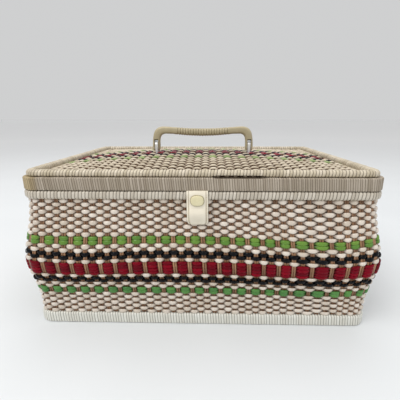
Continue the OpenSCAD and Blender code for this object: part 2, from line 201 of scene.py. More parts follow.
M = {}
M["white"] = vinyl("woven_white", srgb(228, 218, 206), srgb(204, 191, 176), srgb(104, 70, 50), rough=(0.14, 0.26), spec=0.6, blotch=srgb(192, 177, 154))
M["green_hi"] = vinyl("woven_green", srgb(110, 148, 52), srgb(82, 126, 44), srgb(16, 32, 10), rough=(0.2, 0.32), spec=0.4, blotch=srgb(84, 118, 40))
M["green_lo"] = vinyl("woven_green_low", srgb(90, 146, 66), srgb(64, 120, 54), srgb(14, 32, 12), rough=(0.2, 0.32), spec=0.4, blotch=srgb(58, 108, 48))
M["black"] = vinyl("woven_black", srgb(15, 15, 19), srgb(5, 5, 7), srgb(2, 2, 2), rough=(0.12, 0.18), spec=0.13, blotch=srgb(6, 7, 10))
M["red"] = vinyl("woven_red", srgb(136, 4, 28), srgb(96, 2, 18), srgb(24, 1, 4), rough=(0.12, 0.2), spec=0.09, blotch=srgb(84, 2, 22))
M["lid_white"] = vinyl("woven_lid_white", srgb(212, 199, 177), srgb(182, 168, 144), srgb(92, 60, 38), blotch=srgb(170, 155, 128), painted_shade_amount=0.9)
M["lid_stake"] = vinyl("lid_upright_brown", srgb(136, 92, 64), srgb(102, 66, 44), srgb(54, 30, 18), rough=(0.35, 0.5), painted_shade_amount=0.8)
M["lid_green"] = vinyl("woven_lid_green", srgb(156, 170, 108), srgb(118, 138, 76), srgb(50, 52, 24))
M["stake"] = vinyl("upright_brown", srgb(190, 144, 106), srgb(150, 108, 76), srgb(54, 34, 22), rough=(0.3, 0.5), painted_shade_amount=0.8)
M["foot"] = vinyl("foot_strip", srgb(230, 230, 222), srgb(218, 216, 206), srgb(112, 106, 92), rough=(0.3, 0.45), blotch=srgb(206, 204, 192))
M["rim"] = vinyl("rim_strip", srgb(214, 206, 192), srgb(186, 177, 162), srgb(84, 68, 50), rough=(0.26, 0.42), blotch=srgb(180, 168, 146))
M["band"] = vinyl("band_strand", srgb(183, 171, 155), srgb(153, 140, 123), srgb(84, 70, 54), rough=(0.42, 0.6), spec=0.35, blotch=srgb(142, 132, 112), worn=(srgb(138, 120, 90), srgb(190, 172, 134)))
M["border"] = vinyl("border_strip", srgb(212, 200, 180), srgb(180, 167, 144), srgb(70, 54, 38), rough=(0.26, 0.42), blotch=srgb(186, 174, 138))

def plain(name, light, dark, rough, metal=0.0, scale=120, bumpd=0.0001, spec=0.5, stretch=None):
    mt, nt, b = new_mat(name)
    n1 = noise(nt, scale, 4, 0.55, stretch)
    nt.links.new(mix(nt, n1, dark, light), b.inputs["Base Color"])
    nt.links.new(ramp(nt, noise(nt, scale * 3, 3, 0.5, stretch), [(0.3, rough[0]), (0.7, rough[1])]), b.inputs["Roughness"])
    b.inputs["Metallic"].default_value = metal
    b.inputs["Specular IOR Level"].default_value = spec
    bump(nt, b, n1, 0.3, bumpd)
    return mt
def grip_material():
    mt, nt, b = new_mat("grip_plastic")
    tc = node(nt, "ShaderNodeTexCoord").outputs["Object"]
    sep = node(nt, "ShaderNodeSeparateXYZ"); nt.links.new(tc, sep.inputs[0])
    tri = maths(nt, "PINGPONG", sep.outputs["X"], 0.00172)
    groove = ramp(nt, maths(nt, "DIVIDE", tri, 0.00172), [(0.66, 0.0), (0.96, 1.0)])
    zone = ramp(nt, maths(nt, "ABSOLUTE", maths(nt, "MULTIPLY", sep.outputs["X"], 20.0)), [(0.66, 1.0), (0.72, 0.0)])
    high = ramp(nt, maths(nt, "MULTIPLY", sep.outputs["Z"], 4.0), [(0.77, 0.0), (0.79, 1.0)])
    # painted shade: the rib grooves on the upper part of the grip are drawn darker
    painted_shade = maths(nt, "MULTIPLY", maths(nt, "MULTIPLY", groove, zone), high)
    n1 = noise(nt, 60, 4, 0.55)
    col = mix(nt, n1, srgb(160, 147, 115), srgb(190, 178, 147))
    col = mix(nt, maths(nt, "MULTIPLY", painted_shade, 0.72), col, srgb(100, 84, 50))
    # painted shade in the pocket over each staple
    px_ = ramp(nt, maths(nt, "MULTIPLY", maths(nt, "ABSOLUTE", maths(nt, "SUBTRACT", maths(nt, "ABSOLUTE", sep.outputs["X"]), 0.0618)), 100.0), [(0.26, 1.0), (0.29, 0.0)])
    pz_ = maths(nt, "MULTIPLY", ramp(nt, maths(nt, "MULTIPLY", maths(nt, "SUBTRACT", sep.outputs["Z"], 0.184), 100.0), [(0.40, 0.0), (0.46, 1.0)]),
                ramp(nt, maths(nt, "MULTIPLY", maths(nt, "SUBTRACT", sep.outputs["Z"], 0.184), 100.0), [(0.70, 1.0), (0.73, 0.0)]))
    py_ = ramp(nt, maths(nt, "MULTIPLY", maths(nt, "ABSOLUTE", sep.outputs["Y"]), 100.0), [(0.41, 1.0), (0.44, 0.0)])
    pocket = maths(nt, "MULTIPLY", maths(nt, "MULTIPLY", px_, pz_), py_)
    col = mix(nt, maths(nt, "MULTIPLY", pocket, 0.85), col, srgb(46, 40, 20))
    nt.links.new(col, b.inputs["Base Color"])
    nt.links.new(ramp(nt, noise(nt, 180, 3), [(0.3, 0.28), (0.7, 0.4)]), b.inputs["Roughness"])
    bump(nt, b, n1, 0.3, 0.0001)
    return mt
M["grip"] = grip_material()
M["strap"] = vinyl("strap_vinyl", srgb(238, 230, 212), srgb(228, 219, 200), srgb(132, 112, 84), rough=(0.32, 0.46), blotch=srgb(216, 205, 182))
M["cap"] = vinyl("cap_plastic", srgb(224, 215, 178), srgb(216, 206, 167), srgb(118, 102, 62), rough=(0.2, 0.3), blotch=srgb(208, 197, 156))
M["bright"] = plain("bright_metal", (0.97, 0.97, 0.96, 1), (0.86, 0.86, 0.86, 1), (0.34, 0.5), 0.75, scale=200)
M["steel"] = plain("nickel_steel", (0.76, 0.75, 0.73, 1), (0.56, 0.55, 0.53, 1), (0.2, 0.34), 1.0, scale=260)
M["brass"] = plain("hinge_brass", (0.66, 0.48, 0.2, 1), (0.45, 0.31, 0.12, 1), (0.28, 0.45), 1.0, scale=220)
M["card"] = plain("card", srgb(200, 182, 152), srgb(184, 164, 134), (0.7, 0.9), scale=150)
M["tray"] = plain("tray_plastic", srgb(232, 224, 206), srgb(218, 208, 188), (0.26, 0.4), scale=40)

def fabric(name, light, dark, thread=2600, sheen=0.35):
    """Satin: a fine crossed thread, soft cloudiness and a faint sheen."""
    mt, nt, b = new_mat(name)
    tc = node(nt, "ShaderNodeTexCoord").outputs["Object"]
    w1 = node(nt, "ShaderNodeTexWave", bands_direction="X", inputs={"Scale": thread / 6.283, "Distortion": 0.4, "Detail": 1.0})
    w2 = node(nt, "ShaderNodeTexWave", bands_direction="Y", inputs={"Scale": thread / 9.0, "Distortion": 0.4, "Detail": 1.0})
    w3 = node(nt, "ShaderNodeTexWave", bands_direction="Z", inputs={"Scale": thread / 7.5, "Distortion": 0.4, "Detail": 1.0})
    for w_ in (w1, w2, w3): nt.links.new(tc, w_.inputs["Vector"])
    threads = maths(nt, "MULTIPLY", maths(nt, "ADD", maths(nt, "ADD", w1.outputs["Fac"], w2.outputs["Fac"]), w3.outputs["Fac"]), 0.333)
    cloud = noise(nt, 24, 4, 0.6)
    col = mix(nt, cloud, dark, light)
    col = mix(nt, maths(nt, "MULTIPLY", threads, 0.22), col, darker(dark, 0.82))
    # painted shade: the cloth is darker where it is drawn down at a seam
    seam = node(nt, "ShaderNodeAttribute", attribute_name="deep").outputs["Fac"]
    col = mix(nt, maths(nt, "MULTIPLY", seam, 0.6), col, (dark[0] * 0.56, dark[1] * 0.44, dark[2] * 0.34, 1))
    nt.links.new(col, b.inputs["Base Color"])
    nt.links.new(ramp(nt, cloud, [(0.3, 0.36), (0.7, 0.52)]), b.inputs["Roughness"])
    b.inputs["Sheen Weight"].default_value = sheen
    bump(nt, b, threads, 0.25, 0.00008)
    return mt
def wood(name, light, dark, stretch, rough=(0.45, 0.65), pores=True):
    mt, nt, b = new_mat(name)
    g = noise(nt, 60, 6, 0.62, stretch)
    f = noise(nt, 420, 3, 0.5, stretch)
    col = mix(nt, ramp(nt, g, [(0.32, 0.0), (0.68, 1.0)]), dark, light)
    if pores: col = mix(nt, maths(nt, "MULTIPLY", ramp(nt, f, [(0.52, 0.0), (0.7, 1.0)]), 0.5), col, darker(dark, 0.6))
    nt.links.new(col, b.inputs["Base Color"])
    nt.links.new(ramp(nt, f, [(0.3, rough[0]), (0.7, rough[1])]), b.inputs["Roughness"])
    bump(nt, b, f, 0.3, 0.00015)
    return mt
M["satin"] = fabric("satin", srgb(226, 208, 178), srgb(202, 181, 148))
M["piping"] = fabric("piping_cord", srgb(188, 150, 108), srgb(164, 126, 88), 3200)
M["thread"] = plain("stitch_thread", srgb(176, 140, 100), srgb(150, 116, 80), (0.5, 0.7), scale=900)
M["strap_thread"] = plain("strap_thread", srgb(214, 200, 172), srgb(190, 174, 146), (0.5, 0.7), scale=900)
M["cane"] = wood("cane", srgb(206, 170, 120), srgb(172, 134, 90), (1, 1, 1))
M["ledge"] = wood("ledge_wood", srgb(214, 182, 136), srgb(184, 148, 102), (0.08, 1, 1))
M["board"] = wood("fibre_board", srgb(164, 126, 86), srgb(132, 98, 64), (0.7, 1, 1), (0.6, 0.8))

# ------------------------------------------------------------------ outline of the box
HW, HD, CR = 180.0, 127.0, 16.0
RIM_Z, SEAM, BAND_TOP, LID_TOP = 141.0, 150.0, 163.3, 170.6
FOOT_H = 12.5
ROWS = 35
WALL_TOP = RIM_Z - 0.1
PITCH = (WALL_TOP - FOOT_H - 0.2) / ROWS
NST = 162

def bulge(z):
    z = np.asarray(z, float)
    return 8.2 * np.exp(-((z - 76) / 29.5) ** 2) - 2.3 * np.maximum(0, (z - 110) / 32)

def outline(s, hx, hy, r, hx0=HW, hy0=HD, r0=CR):
    """Points and outward normals of a rounded rectangle, by the arc length s of a reference one, from the middle of the front towards +X."""
    s, hx, hy, r = np.broadcast_arrays(np.asarray(s, float), hx, hy, r)
    la, lb, arc = 2 * (hx0 - r0), 2 * (hy0 - r0), math.pi / 2 * r0
    P = 2 * la + 2 * lb + 4 * arc
    q = np.mod(s + la / 2, P)
    edges = np.cumsum([0, la, arc, lb, arc, la, arc, lb, arc])
    seg = np.clip(np.searchsorted(edges, q, side="right") - 1, 0, 7)
    f = (q - edges[seg]) / (edges[seg + 1] - edges[seg])
    x = np.zeros_like(q); y = np.zeros_like(q); nx = np.zeros_like(q); ny = np.zeros_like(q)
    ax, ay = hx - r, hy - r
    for k, (dx, dy, n) in {0: (1, 0, (0, -1)), 2: (0, 1, (1, 0)), 4: (-1, 0, (0, 1)), 6: (0, -1, (-1, 0))}.items():
        w = seg == k
        x[w] = np.where(dx != 0, dx * ax[w] * (2 * f[w] - 1), n[0] * hx[w])
        y[w] = np.where(dy != 0, dy * ay[w] * (2 * f[w] - 1), n[1] * hy[w])
        nx[w], ny[w] = n
    for k, (cx, cy, a0) in {1: (1, -1, -90), 3: (1, 1, 0), 5: (-1, 1, 90), 7: (-1, -1, 180)}.items():
        w = seg == k
        a = np.radians(a0 + 90 * f[w])
        nx[w], ny[w] = np.cos(a), np.sin(a)
        x[w] = cx * ax[w] + r[w] * nx[w]; y[w] = cy * ay[w] + r[w] * ny[w]
    return x, y, nx, ny

PERIM = 2 * (2 * HW + 2 * HD) - 8 * CR + 2 * math.pi * CR
SP = PERIM / NST

def stake_s(u, z):
    """Where upright number u stands, by height: evenly spaced, a little wide near the right front corner, and leaning slightly as hand work does."""
    s = u * SP - 5.0
    s = np.mod(s + PERIM / 2, PERIM) - PERIM / 2
    d = 10.2 * sstep(88, 132, s) * (1 - np.clip((s - 134) / 120, 0, 1))
    lean = 0.066 * (100 - np.asarray(z, float)) * sstep(-110, -10, s) * (1 - sstep(110, 185, s))
    lean = lean + 0.02 * (80 - np.asarray(z, float)) * np.sin(s / 61.0) * sstep(190, 260, np.abs(s))
    return s + d + lean

def ring_pos(s, z, inset):
    o = bulge(z)
    return outline(s, HW + o - inset, HD + o - inset, CR + 0.7 * o - inset)

# ------------------------------------------------------------------ the woven wall
A_OUT, T_HALF, MID = 1.62, 1.18, 2.85
def smooth_noise(n, amp, k, seed):
    """Periodic smooth values at n places."""
    r = np.random.RandomState(seed)
    x = np.arange(n) / n * 2 * math.pi
    return amp * sum(r.normal() / (j ** 0.5) * np.cos(j * x + r.uniform(0, 6.28)) for j in range(1, k + 1)) / math.sqrt(k)

WAVE = [smooth_noise(NST, 0.55, 14, 31), smooth_noise(NST, 0.55, 14, 32), smooth_noise(NST, 0.5, 14, 33)]
def row_drift(u, z):
    f = np.clip(z / 140, 0, 1)
    i = np.mod(u, NST); i0 = np.floor(i).astype(int) % NST; t = i - np.floor(i)
    w = [wv[i0] * (1 - t) + wv[(i0 + 1) % NST] * t for wv in WAVE]
    amp = np.sin(math.pi * np.clip((z - 12) / 129, 0, 1)) ** 0.7
    s = np.mod(i * SP - 5.0 + PERIM / 2, PERIM) - PERIM / 2
    rise = np.clip((z - 14) / 52, 0, 1); fall = np.clip((141 - z) / 30, 0, 1)
    sag = -5.2 * np.exp(-((s - 122) / np.where(s < 122, 66.0, 34.0)) ** 2) * rise ** 0.9 * fall - 3.4 * np.exp(-((s + 116) / 42) ** 2) * np.exp(-((z - 80) / 24) ** 2)
    return amp * 0.8 * (w[0] * (1 - f) + w[1] * f + w[2] * np.sin(math.pi * f)) + sag

def bead_height(c, fat, jh):
    """Half the height of a strand, from full over an upright to pinched where it dives, and how square its section is."""
    d = np.arccos(np.clip(c, -1, 1)) / math.pi      # 0 over the bead, 0.5 at the crossing, 1 behind
    full, reach, thin, ex, pw = {"white": (2.2, 0.84, 0.8, 0.86, 0.56), "green": (2.12, 0.80, 1.0, 0.6, 0.30), "red": (1.98, 0.90, 1.0, 0.55, 0.28), "block": (1.95, 0.84, 1.0, 0.6, 0.36), "black": (2.2, 0.88, 0.85, 0.85, 0.46),
        "green_low": (2.42, 0.80, 1.0, 0.66, 0.36), "white_low": (2.3, 0.85, 0.85, 0.84, 0.54)}[fat]
    front = full * (1 + jh) * np.clip(1 - (d / reach) ** 2, 0, 1) ** pw
    back = 1.25 * np.clip(-c, 0, 1) ** 0.6
    return np.maximum(np.maximum(front, back), thin), ex

def strand_row(k, phase, fat, seed, S=6, R=8):
    """One strand right round the wall: vertices and the two attributes."""
    r = np.random.RandomState(seed)
    n = NST * S
    u = np.arange(n) / S
    z0 = WALL_TOP - (k + 0.5) * PITCH
    # per-bead variation, held over each bead
    bead = np.floor((u + (0 if phase == 0 else 1) + 1.0) / 2).astype(int) % (NST // 2)
    jh = r.normal(0, 0.05, NST // 2)[bead]; jo = r.normal(0, 0.09, NST // 2)[bead]; jr = r.uniform(0, 1, NST // 2)[bead]; jz = r.normal(0, 0.10, NST // 2)[bead]
    c = np.cos(math.pi * (u + phase))
    wide = {"red": 0.36, "green": 0.14, "green_low": 0.14}.get(fat, 0.0)
    g = np.clip(c + wide, -1, 1)
    g = g * (1.28 - 0.28 * g * g) if not wide else np.sign(g) * np.abs(g) ** 0.55
    up_ = np.clip(c + wide, 0, 1)
    z = z0 + row_drift(u, z0) + jz * up_
    h, ex = bead_height(c, fat, jh)
    h = h * (1 + (row_drift(u, z0 + 2) - row_drift(u, z0 - 2)) / 4)
    t = T_HALF * (0.92 + 0.10 * up_)
    off = A_OUT * g + jo * up_
    s = stake_s(u, z)
    th = np.arange(R) / R * 2 * math.pi + math.pi / R
    C, Sn = np.cos(th), np.sin(th)
    C2 = np.sign(C) * np.abs(C) ** ex; S2 = np.sign(Sn) * np.abs(Sn) ** ex
    x, y, nx, ny = ring_pos(s, z, MID)
    n_off = off[:, None] + t[:, None] * C2[None, :]
    zz = z[:, None] + h[:, None] * S2[None, :]
    # the wall leans out or in, so the section leans with it
    slope = (bulge(z + 1) - bulge(z - 1)) / 2
    n_off = n_off + slope[:, None] * (zz - z[:, None])
    X = x[:, None] + nx[:, None] * n_off; Y = y[:, None] + ny[:, None] * n_off
    V = np.stack([X, Y, zz], -1).reshape(-1, 3)
    # deep: painted shade, more where the strand lies back towards the wall and along its upper and lower edges
    depth = np.clip((A_OUT + T_HALF - n_off) / (2 * (A_OUT + T_HALF)), 0, 1)
    edge = np.abs(zz - z[:, None]) / 2.2
    deep = np.clip(depth * 1.9 - 0.22 + 0.25 * np.clip(edge - 0.6, 0, 1), 0, 1)
    return V, np.repeat(jr, R), deep.ravel(), grid_faces(n, R, loop_n=True)

# colour, phase and kind of each row from the rim down
PLAN = []
for k in range(10): PLAN.append(("white", (k + 1) % 2, "white"))
PLAN += [("green_hi", 1, "green")] * 2
PLAN += [("white", 0, "white"), ("white", 1, "white"), ("black", 0, "black"), ("black", 1, "black"), ("white", 0, "white")]
PLAN += [("red", 1, "red")] * 4
PLAN += [("white", 0, "white"), ("black", 1, "black"), ("black", 0, "black"), ("white", 1, "white"), ("white", 0, "white")]
PLAN += [("green_lo", 1, "green_low")] * 2
for k in range(7): PLAN.append(("white", k % 2, "white_low"))
assert len(PLAN) == ROWS
PH = 1  # phase 1 beads stand on the uprights with odd numbers

def weave_piece(name, rows, mat):
    Vs, Fs, rn, dp, base = [], [], [], [], 0
    for k in rows:
        V, r_, d_, F = strand_row(k, PLAN[k][1] ^ PH, PLAN[k][2], 100 + k)
        Vs.append(V); Fs.append(F + base); rn.append(r_); dp.append(d_); base += len(V)
    return mesh_object(name, np.concatenate(Vs), np.concatenate(Fs), mat, attrs={"rnd": np.concatenate(rn), "deep": np.concatenate(dp)})

pieces = {}
whites = [k for k in range(ROWS) if PLAN[k][0] == "white"]
groups = {
    "woven_white_upper": [k for k in whites if k < 10], "woven_white_middle": [k for k in whites if 10 <= k < 26], "woven_white_lower": [k for k in whites if k >= 26],
    "woven_green": [k for k in range(ROWS) if PLAN[k][0].startswith("green")], "woven_black": [k for k in range(ROWS) if PLAN[k][0] == "black"], "woven_red": [k for k in range(ROWS) if PLAN[k][0] == "red"]}
for nm, rows in groups.items():
    if nm == "woven_green":
        a = weave_piece("woven_green_upper", [k for k in rows if PLAN[k][0] == "green_hi"], M["green_hi"])
        b = weave_piece("woven_green_lower", [k for k in rows if PLAN[k][0] == "green_lo"], M["green_lo"])
        for o in (a, b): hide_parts("green_weavers"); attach(o, "basket")
        continue
    mt = M["white"] if "white" in nm else M[nm.split("_")[1]]
    o = weave_piece(nm, rows, mt)
    col = "white" if "white" in nm else nm.split("_")[1]
    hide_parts(col + "_weavers"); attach(o, "basket")

# the uprights: two thin strands side by side each
def uprights():
    L, R = 34, 6
    zs = np.linspace(FOOT_H - 1.5, RIM_Z + 1.0, L)
    th = np.arange(R) / R * 2 * math.pi
    sides = {"front": [], "right": [], "rear": [], "left": [], "corner": []}
    for i in range(NST):
        u = float(i)
        s_mid = float(np.mod(stake_s(np.array([u]), 76.0)[0] + PERIM / 2, PERIM) - PERIM / 2)
        x, y, nx, ny = ring_pos(np.array([s_mid]), np.array([76.0]), MID)
        key = "front" if ny[0] < -0.999 else "rear" if ny[0] > 0.999 else "right" if nx[0] > 0.999 else "left" if nx[0] < -0.999 else "corner"
        for side in (-1, 1):
            r = np.random.RandomState(1000 + 2 * i + (side > 0))
            zz = zs
            s = stake_s(np.full(L, u), zz) + side * (1.13 + r.normal(0, 0.03)) + r.normal(0, 0.08)
            x, y, nx, ny = ring_pos(s, zz, MID)
            tx, ty = -ny, nx
            ring = []
            for c, q in zip(np.cos(th), np.sin(th)):
                a = 0.62 * c; b = 1.09 * q
                ring.append(np.stack([x + nx * a + tx * b, y + ny * a + ty * b, zz], -1))
            V = np.stack(ring, 1)  # L, R, 3
            sides[key].append((V, r.uniform()))
    for key, items in sides.items():
        Vs, Fs, rn, dp, base = [], [], [], [], 0
        for V, rr in items:
            n = V.shape[0] * R
            F = grid_faces(L, R)
            Vs.append(V.reshape(-1, 3)); Fs += [tuple(f) for f in (F + base)]
            Fs.append(tuple(base + np.arange(R)[::-1])); Fs.append(tuple(base + n - R + np.arange(R)))
            zc_ = V[..., 2].ravel()
            # the uprights are drawn darker over their whole height, except in two bands round z 79 and z 101
            lighter_band = np.maximum(np.exp(-((zc_ - 79) / 8.5) ** 4), 0.6 * np.exp(-((zc_ - 101) / 5) ** 4))
            rn.append(np.full(n, rr)); dp.append(0.52 * (1 - lighter_band) + 0.05); base += n
        o = mesh_object("uprights_" + key, np.concatenate(Vs), Fs, M["stake"], attrs={"rnd": np.concatenate(rn), "deep": np.concatenate(dp)})
        recalc(o)
        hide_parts(key + "_stakes"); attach(o, "basket")
uprights()

# ------------------------------------------------------------------ wound rims
def rounded_profile(n0, n1, z0, z1, ro, ri, m_=4):
    """A closed profile, from the outer bottom up and round: points and normals. ro and ri are (bottom, top) radii outside and inside."""
    P, N = [], []
    def arc(cx, cz, r, a0, a1, k):
        for i in range(k + 1):
            a = math.radians(a0 + (a1 - a0) * i / k)
            P.append((cx + r * math.cos(a), cz + r * math.sin(a))); N.append((math.cos(a), math.sin(a)))
    def flat(p, q, nrm, k):
        for i in range(1, k + 1):
            t = i / (k + 1); P.append((p[0] + (q[0] - p[0]) * t, p[1] + (q[1] - p[1]) * t)); N.append(nrm)
    arc(n1 - ro[0], z0 + ro[0], ro[0], -90, 0, m_)
    flat((n1, z0 + ro[0]), (n1, z1 - ro[1]), (1, 0), 2)
    arc(n1 - ro[1], z1 - ro[1], ro[1], 0, 90, m_)
    flat((n1 - ro[1], z1), (n0 + ri[1], z1), (0, 1), 1)
    arc(n0 + ri[1], z1 - ri[1], ri[1], 90, 180, max(2, m_ - 1))
    arc(n0 + ri[0], z0 + ri[0], ri[0], 180, 270, max(2, m_ - 2))
    return np.array(P), np.array(N)

def wound_ring(name, hx, hy, r, prof, pitch, slant, depth, mat, seed, jitter=0.12, S=6, belly=0.0, keep_flat=None, worn=None):
    P, N = prof
    R = np.random.RandomState(seed)
    per = 2 * (2 * hx + 2 * hy) - 8 * r + 2 * math.pi * r
    K = int(round(per / pitch)); p = per / K
    bnd = np.arange(K) * p + R.normal(0, jitter * p * 0.5, K)
    w = np.diff(np.append(bnd, bnd[0] + per))
    f = np.arange(S) / S
    s = (bnd[:, None] + w[:, None] * f[None, :]).ravel()
    bead = np.repeat(np.arange(K), S)
    round_ = np.sqrt(np.clip(1 - (2 * np.tile(f, K) - 1) ** 2, 0, 1))
    jr = R.uniform(0, 1, K)[bead]; jo = R.normal(0, 0.07 * depth / 0.5, K)[bead]
    n, m_ = len(s), len(P)
    q = (P[:, 1] - P[:, 1].min()) / (P[:, 1].max() - P[:, 1].min())
    inner = (P[:, 0] < (P[:, 0].max() + P[:, 0].min()) / 2)
    shift = slant * np.where(inner, 2 - q, q)
    ss = s[:, None] + shift[None, :]
    off = -depth * (1 - round_)[:, None] + jo[:, None] * round_[:, None]
    bel = belly * np.sin(np.pi * q)[None, :] * (N[:, 0] > 0.9)[None, :]
    nn = P[:, 0][None, :] + (off + bel) * N[:, 0][None, :]
    zz = P[:, 1][None, :] + off * N[:, 1][None, :]
    if keep_flat is not None: zz = np.clip(zz, keep_flat[0], keep_flat[1])
    x, y, nx, ny = outline(ss, hx + nn, hy + nn, np.maximum(r + nn, 0.6), hx, hy, r)
    V = np.stack([x, y, zz + 0 * x], -1).reshape(-1, 3)
    # deep: painted shade in the grooves between the windings
    deep = np.clip((1 - round_) ** 1.4, 0, 1)[:, None] * np.ones(m_)[None, :]
    rn = np.repeat(jr, m_)
    at = {"rnd": rn, "deep": deep.ravel()}
    if worn is not None:
        d_ = np.hypot(V[:, 0] - worn[0], V[:, 1] - worn[1]) + 5 * np.repeat(jr, m_)
        at["worn"] = 1 - sstep(worn[2] - 4, worn[2] + 4, d_)
    o = mesh_object(name, V, grid_faces(n, m_, loop_n=True), mat, attrs=at)
    return recalc(o)

foot = wound_ring("foot_winding", HW + 0.5, HD + 0.5, CR, rounded_profile(-9, 0, 0.0, FOOT_H + 0.2, (1.8, 2.4), (1.0, 1.5)), 2.9, -0.9, 0.58, M["foot"], 41, S=5, keep_flat=(0.0, 13))
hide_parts("foot_wrap"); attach(foot, "basket")
rim = wound_ring("rim_winding", HW, HD, CR, rounded_profile(-8, 0, RIM_Z, SEAM - 0.15, (3.2, 2.4), (1.5, 1.5)), 3.45, 0.9, 0.62, M["rim"], 42, S=5)
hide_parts("rim_wrap"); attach(rim, "basket")
band = wound_ring("band_winding", HW, HD, CR, rounded_profile(-6.4, 0, SEAM + 0.25, BAND_TOP - 0.1, (1.4, 1.2), (0.8, 0.8)), 2.25, -1.3, 0.38, M["band"], 43, jitter=0.3, S=4, worn=(-HW, -HD, 20))
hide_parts("lid_band_wrap"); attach(band, "lid")
border = wound_ring("border_winding", HW - 3.5, HD - 3.5, CR - 3, rounded_profile(-9, 0, BAND_TOP + 0.0, LID_TOP - 0.5, (2.0, 3.9), (1.0, 3.6), m_=5), 3.15, 1.2, 0.62, M["border"], 44, S=5)
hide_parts("border_wrap"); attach(border, "lid")

def open_gap(o, side, amount):
    """The border has come a little loose from the band along the front, to the right of the strap: the strands are
    moved apart, and those beside the gap get painted shade to make a dark line between them.
    """
    n = len(o.data.vertices)
    co = np.zeros(n * 3); o.data.vertices.foreach_get("co", co); co = co.reshape(-1, 3)
    k = 1000.0 if np.abs(co).max() < 2 else 1.0
    x, y, z = (co * k).T
    m = sstep(8, 20, x) * (1 - sstep(52, 68, x)) * (y < -HD + 12)
    m = m * ((1 - sstep(BAND_TOP + 0.9, BAND_TOP + 2.0, z)) if side > 0 else sstep(BAND_TOP - 0.9, BAND_TOP - 0.3, z))
    co[:, 2] += side * amount * m / k
    o.data.vertices.foreach_set("co", co.ravel()); o.data.update()
    d = np.zeros(n); o.data.attributes["deep"].data.foreach_get("value", d)
    o.data.attributes["deep"].data.foreach_set("value", np.clip(np.maximum(d, 1.6 * m), 0, 1).astype(np.float32))
open_gap(border, 1, 0.75)
open_gap(band, -1, 0.3)

# ------------------------------------------------------------------ the woven lid
PX, PY = HW - 3.5 - 9 - 0.3, HD - 3.5 - 9 - 0.3
PAN_Z, CROWN = LID_TOP - 4.6, 9.5
def top_z(x, y):
    fx = 1 - np.clip(np.abs(x) / PX, 0, 1) ** 2.2; fy = 1 - np.clip(np.abs(y) / PY, 0, 1) ** 2.2
    return PAN_Z + CROWN * fx * fy
LNX = 39
LSP = 2 * (PX + 3) / LNX
LPITCH = 5.2
LPLAN = {}
def lid_colour(j):
    """Colour, phase and kind of the lid's row j, counted from the middle line: rows -22 to 21, row j lying at (j + 0.5) pitches."""
    a = j if j >= 0 else -1 - j
    if a < 2: return "red", 1, "block"
    if a == 2: return "white", 0, "white"
    if a == 3: return "black", 1, "black"
    if a == 4: return "black", 0, "black"
    if a in (5, 6): return "white", a % 2, "white"
    if a in (7, 8): return "green", 1, "block"
    return "white", (a + 1) % 2, "white"

def lid_row(j, S=6, R=8):
    col, phase, fat = lid_colour(j)
    r = np.random.RandomState(500 + j)
    n = LNX * S + 1
    u = np.arange(n) / S
    x = -(PX + 3) + u * LSP
    y0 = (j + 0.5) * LPITCH
    bead = np.floor((u + phase + 1) / 2).astype(int)
    jh = r.normal(0, 0.05, 60)[bead]; jo = r.normal(0, 0.08, 60)[bead]; jr = r.uniform(0, 1, 60)[bead]
    c = np.cos(math.pi * (u + phase)); g = c * (1.28 - 0.28 * c * c); up_ = np.clip(c, 0, 1)
    h, ex = bead_height(c, fat, jh)
    t = 1.3; h = h * 1.38
    amp = 1.65
    y = y0 + 0.35 * np.sin(u * 0.31 + 1.3) + 0.25 * np.sin(u * 0.12)
    zc = top_z(x, np.full(n, y0)) - (amp + t) + amp * g + jo * up_
    drop = np.clip((np.abs(x) - (PX - 4)) / 6, 0, 1) * 1.2
    zc = zc - drop
    th = np.arange(R) / R * 2 * math.pi + math.pi / R
    C, Sn = np.cos(th), np.sin(th)
    C2 = np.sign(C) * np.abs(C) ** ex; S2 = np.sign(Sn) * np.abs(Sn) ** ex
    Y = y[:, None] + h[:, None] * C2[None, :]; Z = np.maximum(zc[:, None] + t * S2[None, :], 162.55)
    V = np.stack([np.repeat(x, R).reshape(n, R), Y, Z], -1).reshape(-1, 3)
    # deep: painted shade where the strand dives under the uprights
    d = np.clip((amp + t - (amp * g[:, None] + t * S2[None, :])) / (2 * (amp + t)), 0, 1)
    deep = np.clip(d * 3.0 - 0.32, 0, 1).ravel()
    F = [tuple(f) for f in grid_faces(n, R)] + [tuple(np.arange(R)[::-1]), tuple(n * R - R + np.arange(R))]
    return col, V, np.repeat(jr, R), deep, F

lid_sets = {}
for j in range(-22, 22):
    col, V, rn, dp, F = lid_row(j)
    key = col if col != "white" else ("white_front" if j < 0 else "white_rear")
    S_ = lid_sets.setdefault(key, [[], [], [], [], 0])
    S_[0].append(V); S_[1] += [tuple(i + S_[4] for i in f) for f in F]; S_[2].append(rn); S_[3].append(dp); S_[4] += len(V)
for key, (Vs, Fs, rn, dp, _) in lid_sets.items():
    col = key.split("_")[0]
    mt = {"white": M["lid_white"], "green": M["lid_green"], "black": M["black"], "red": M["red"]}[col]
    o = mesh_object("lid_woven_" + key, np.concatenate(Vs), Fs, mt, attrs={"rnd": np.concatenate(rn), "deep": np.concatenate(dp)})
    recalc(o)
    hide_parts(f"lid_{col}_weavers"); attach(o, "lid")

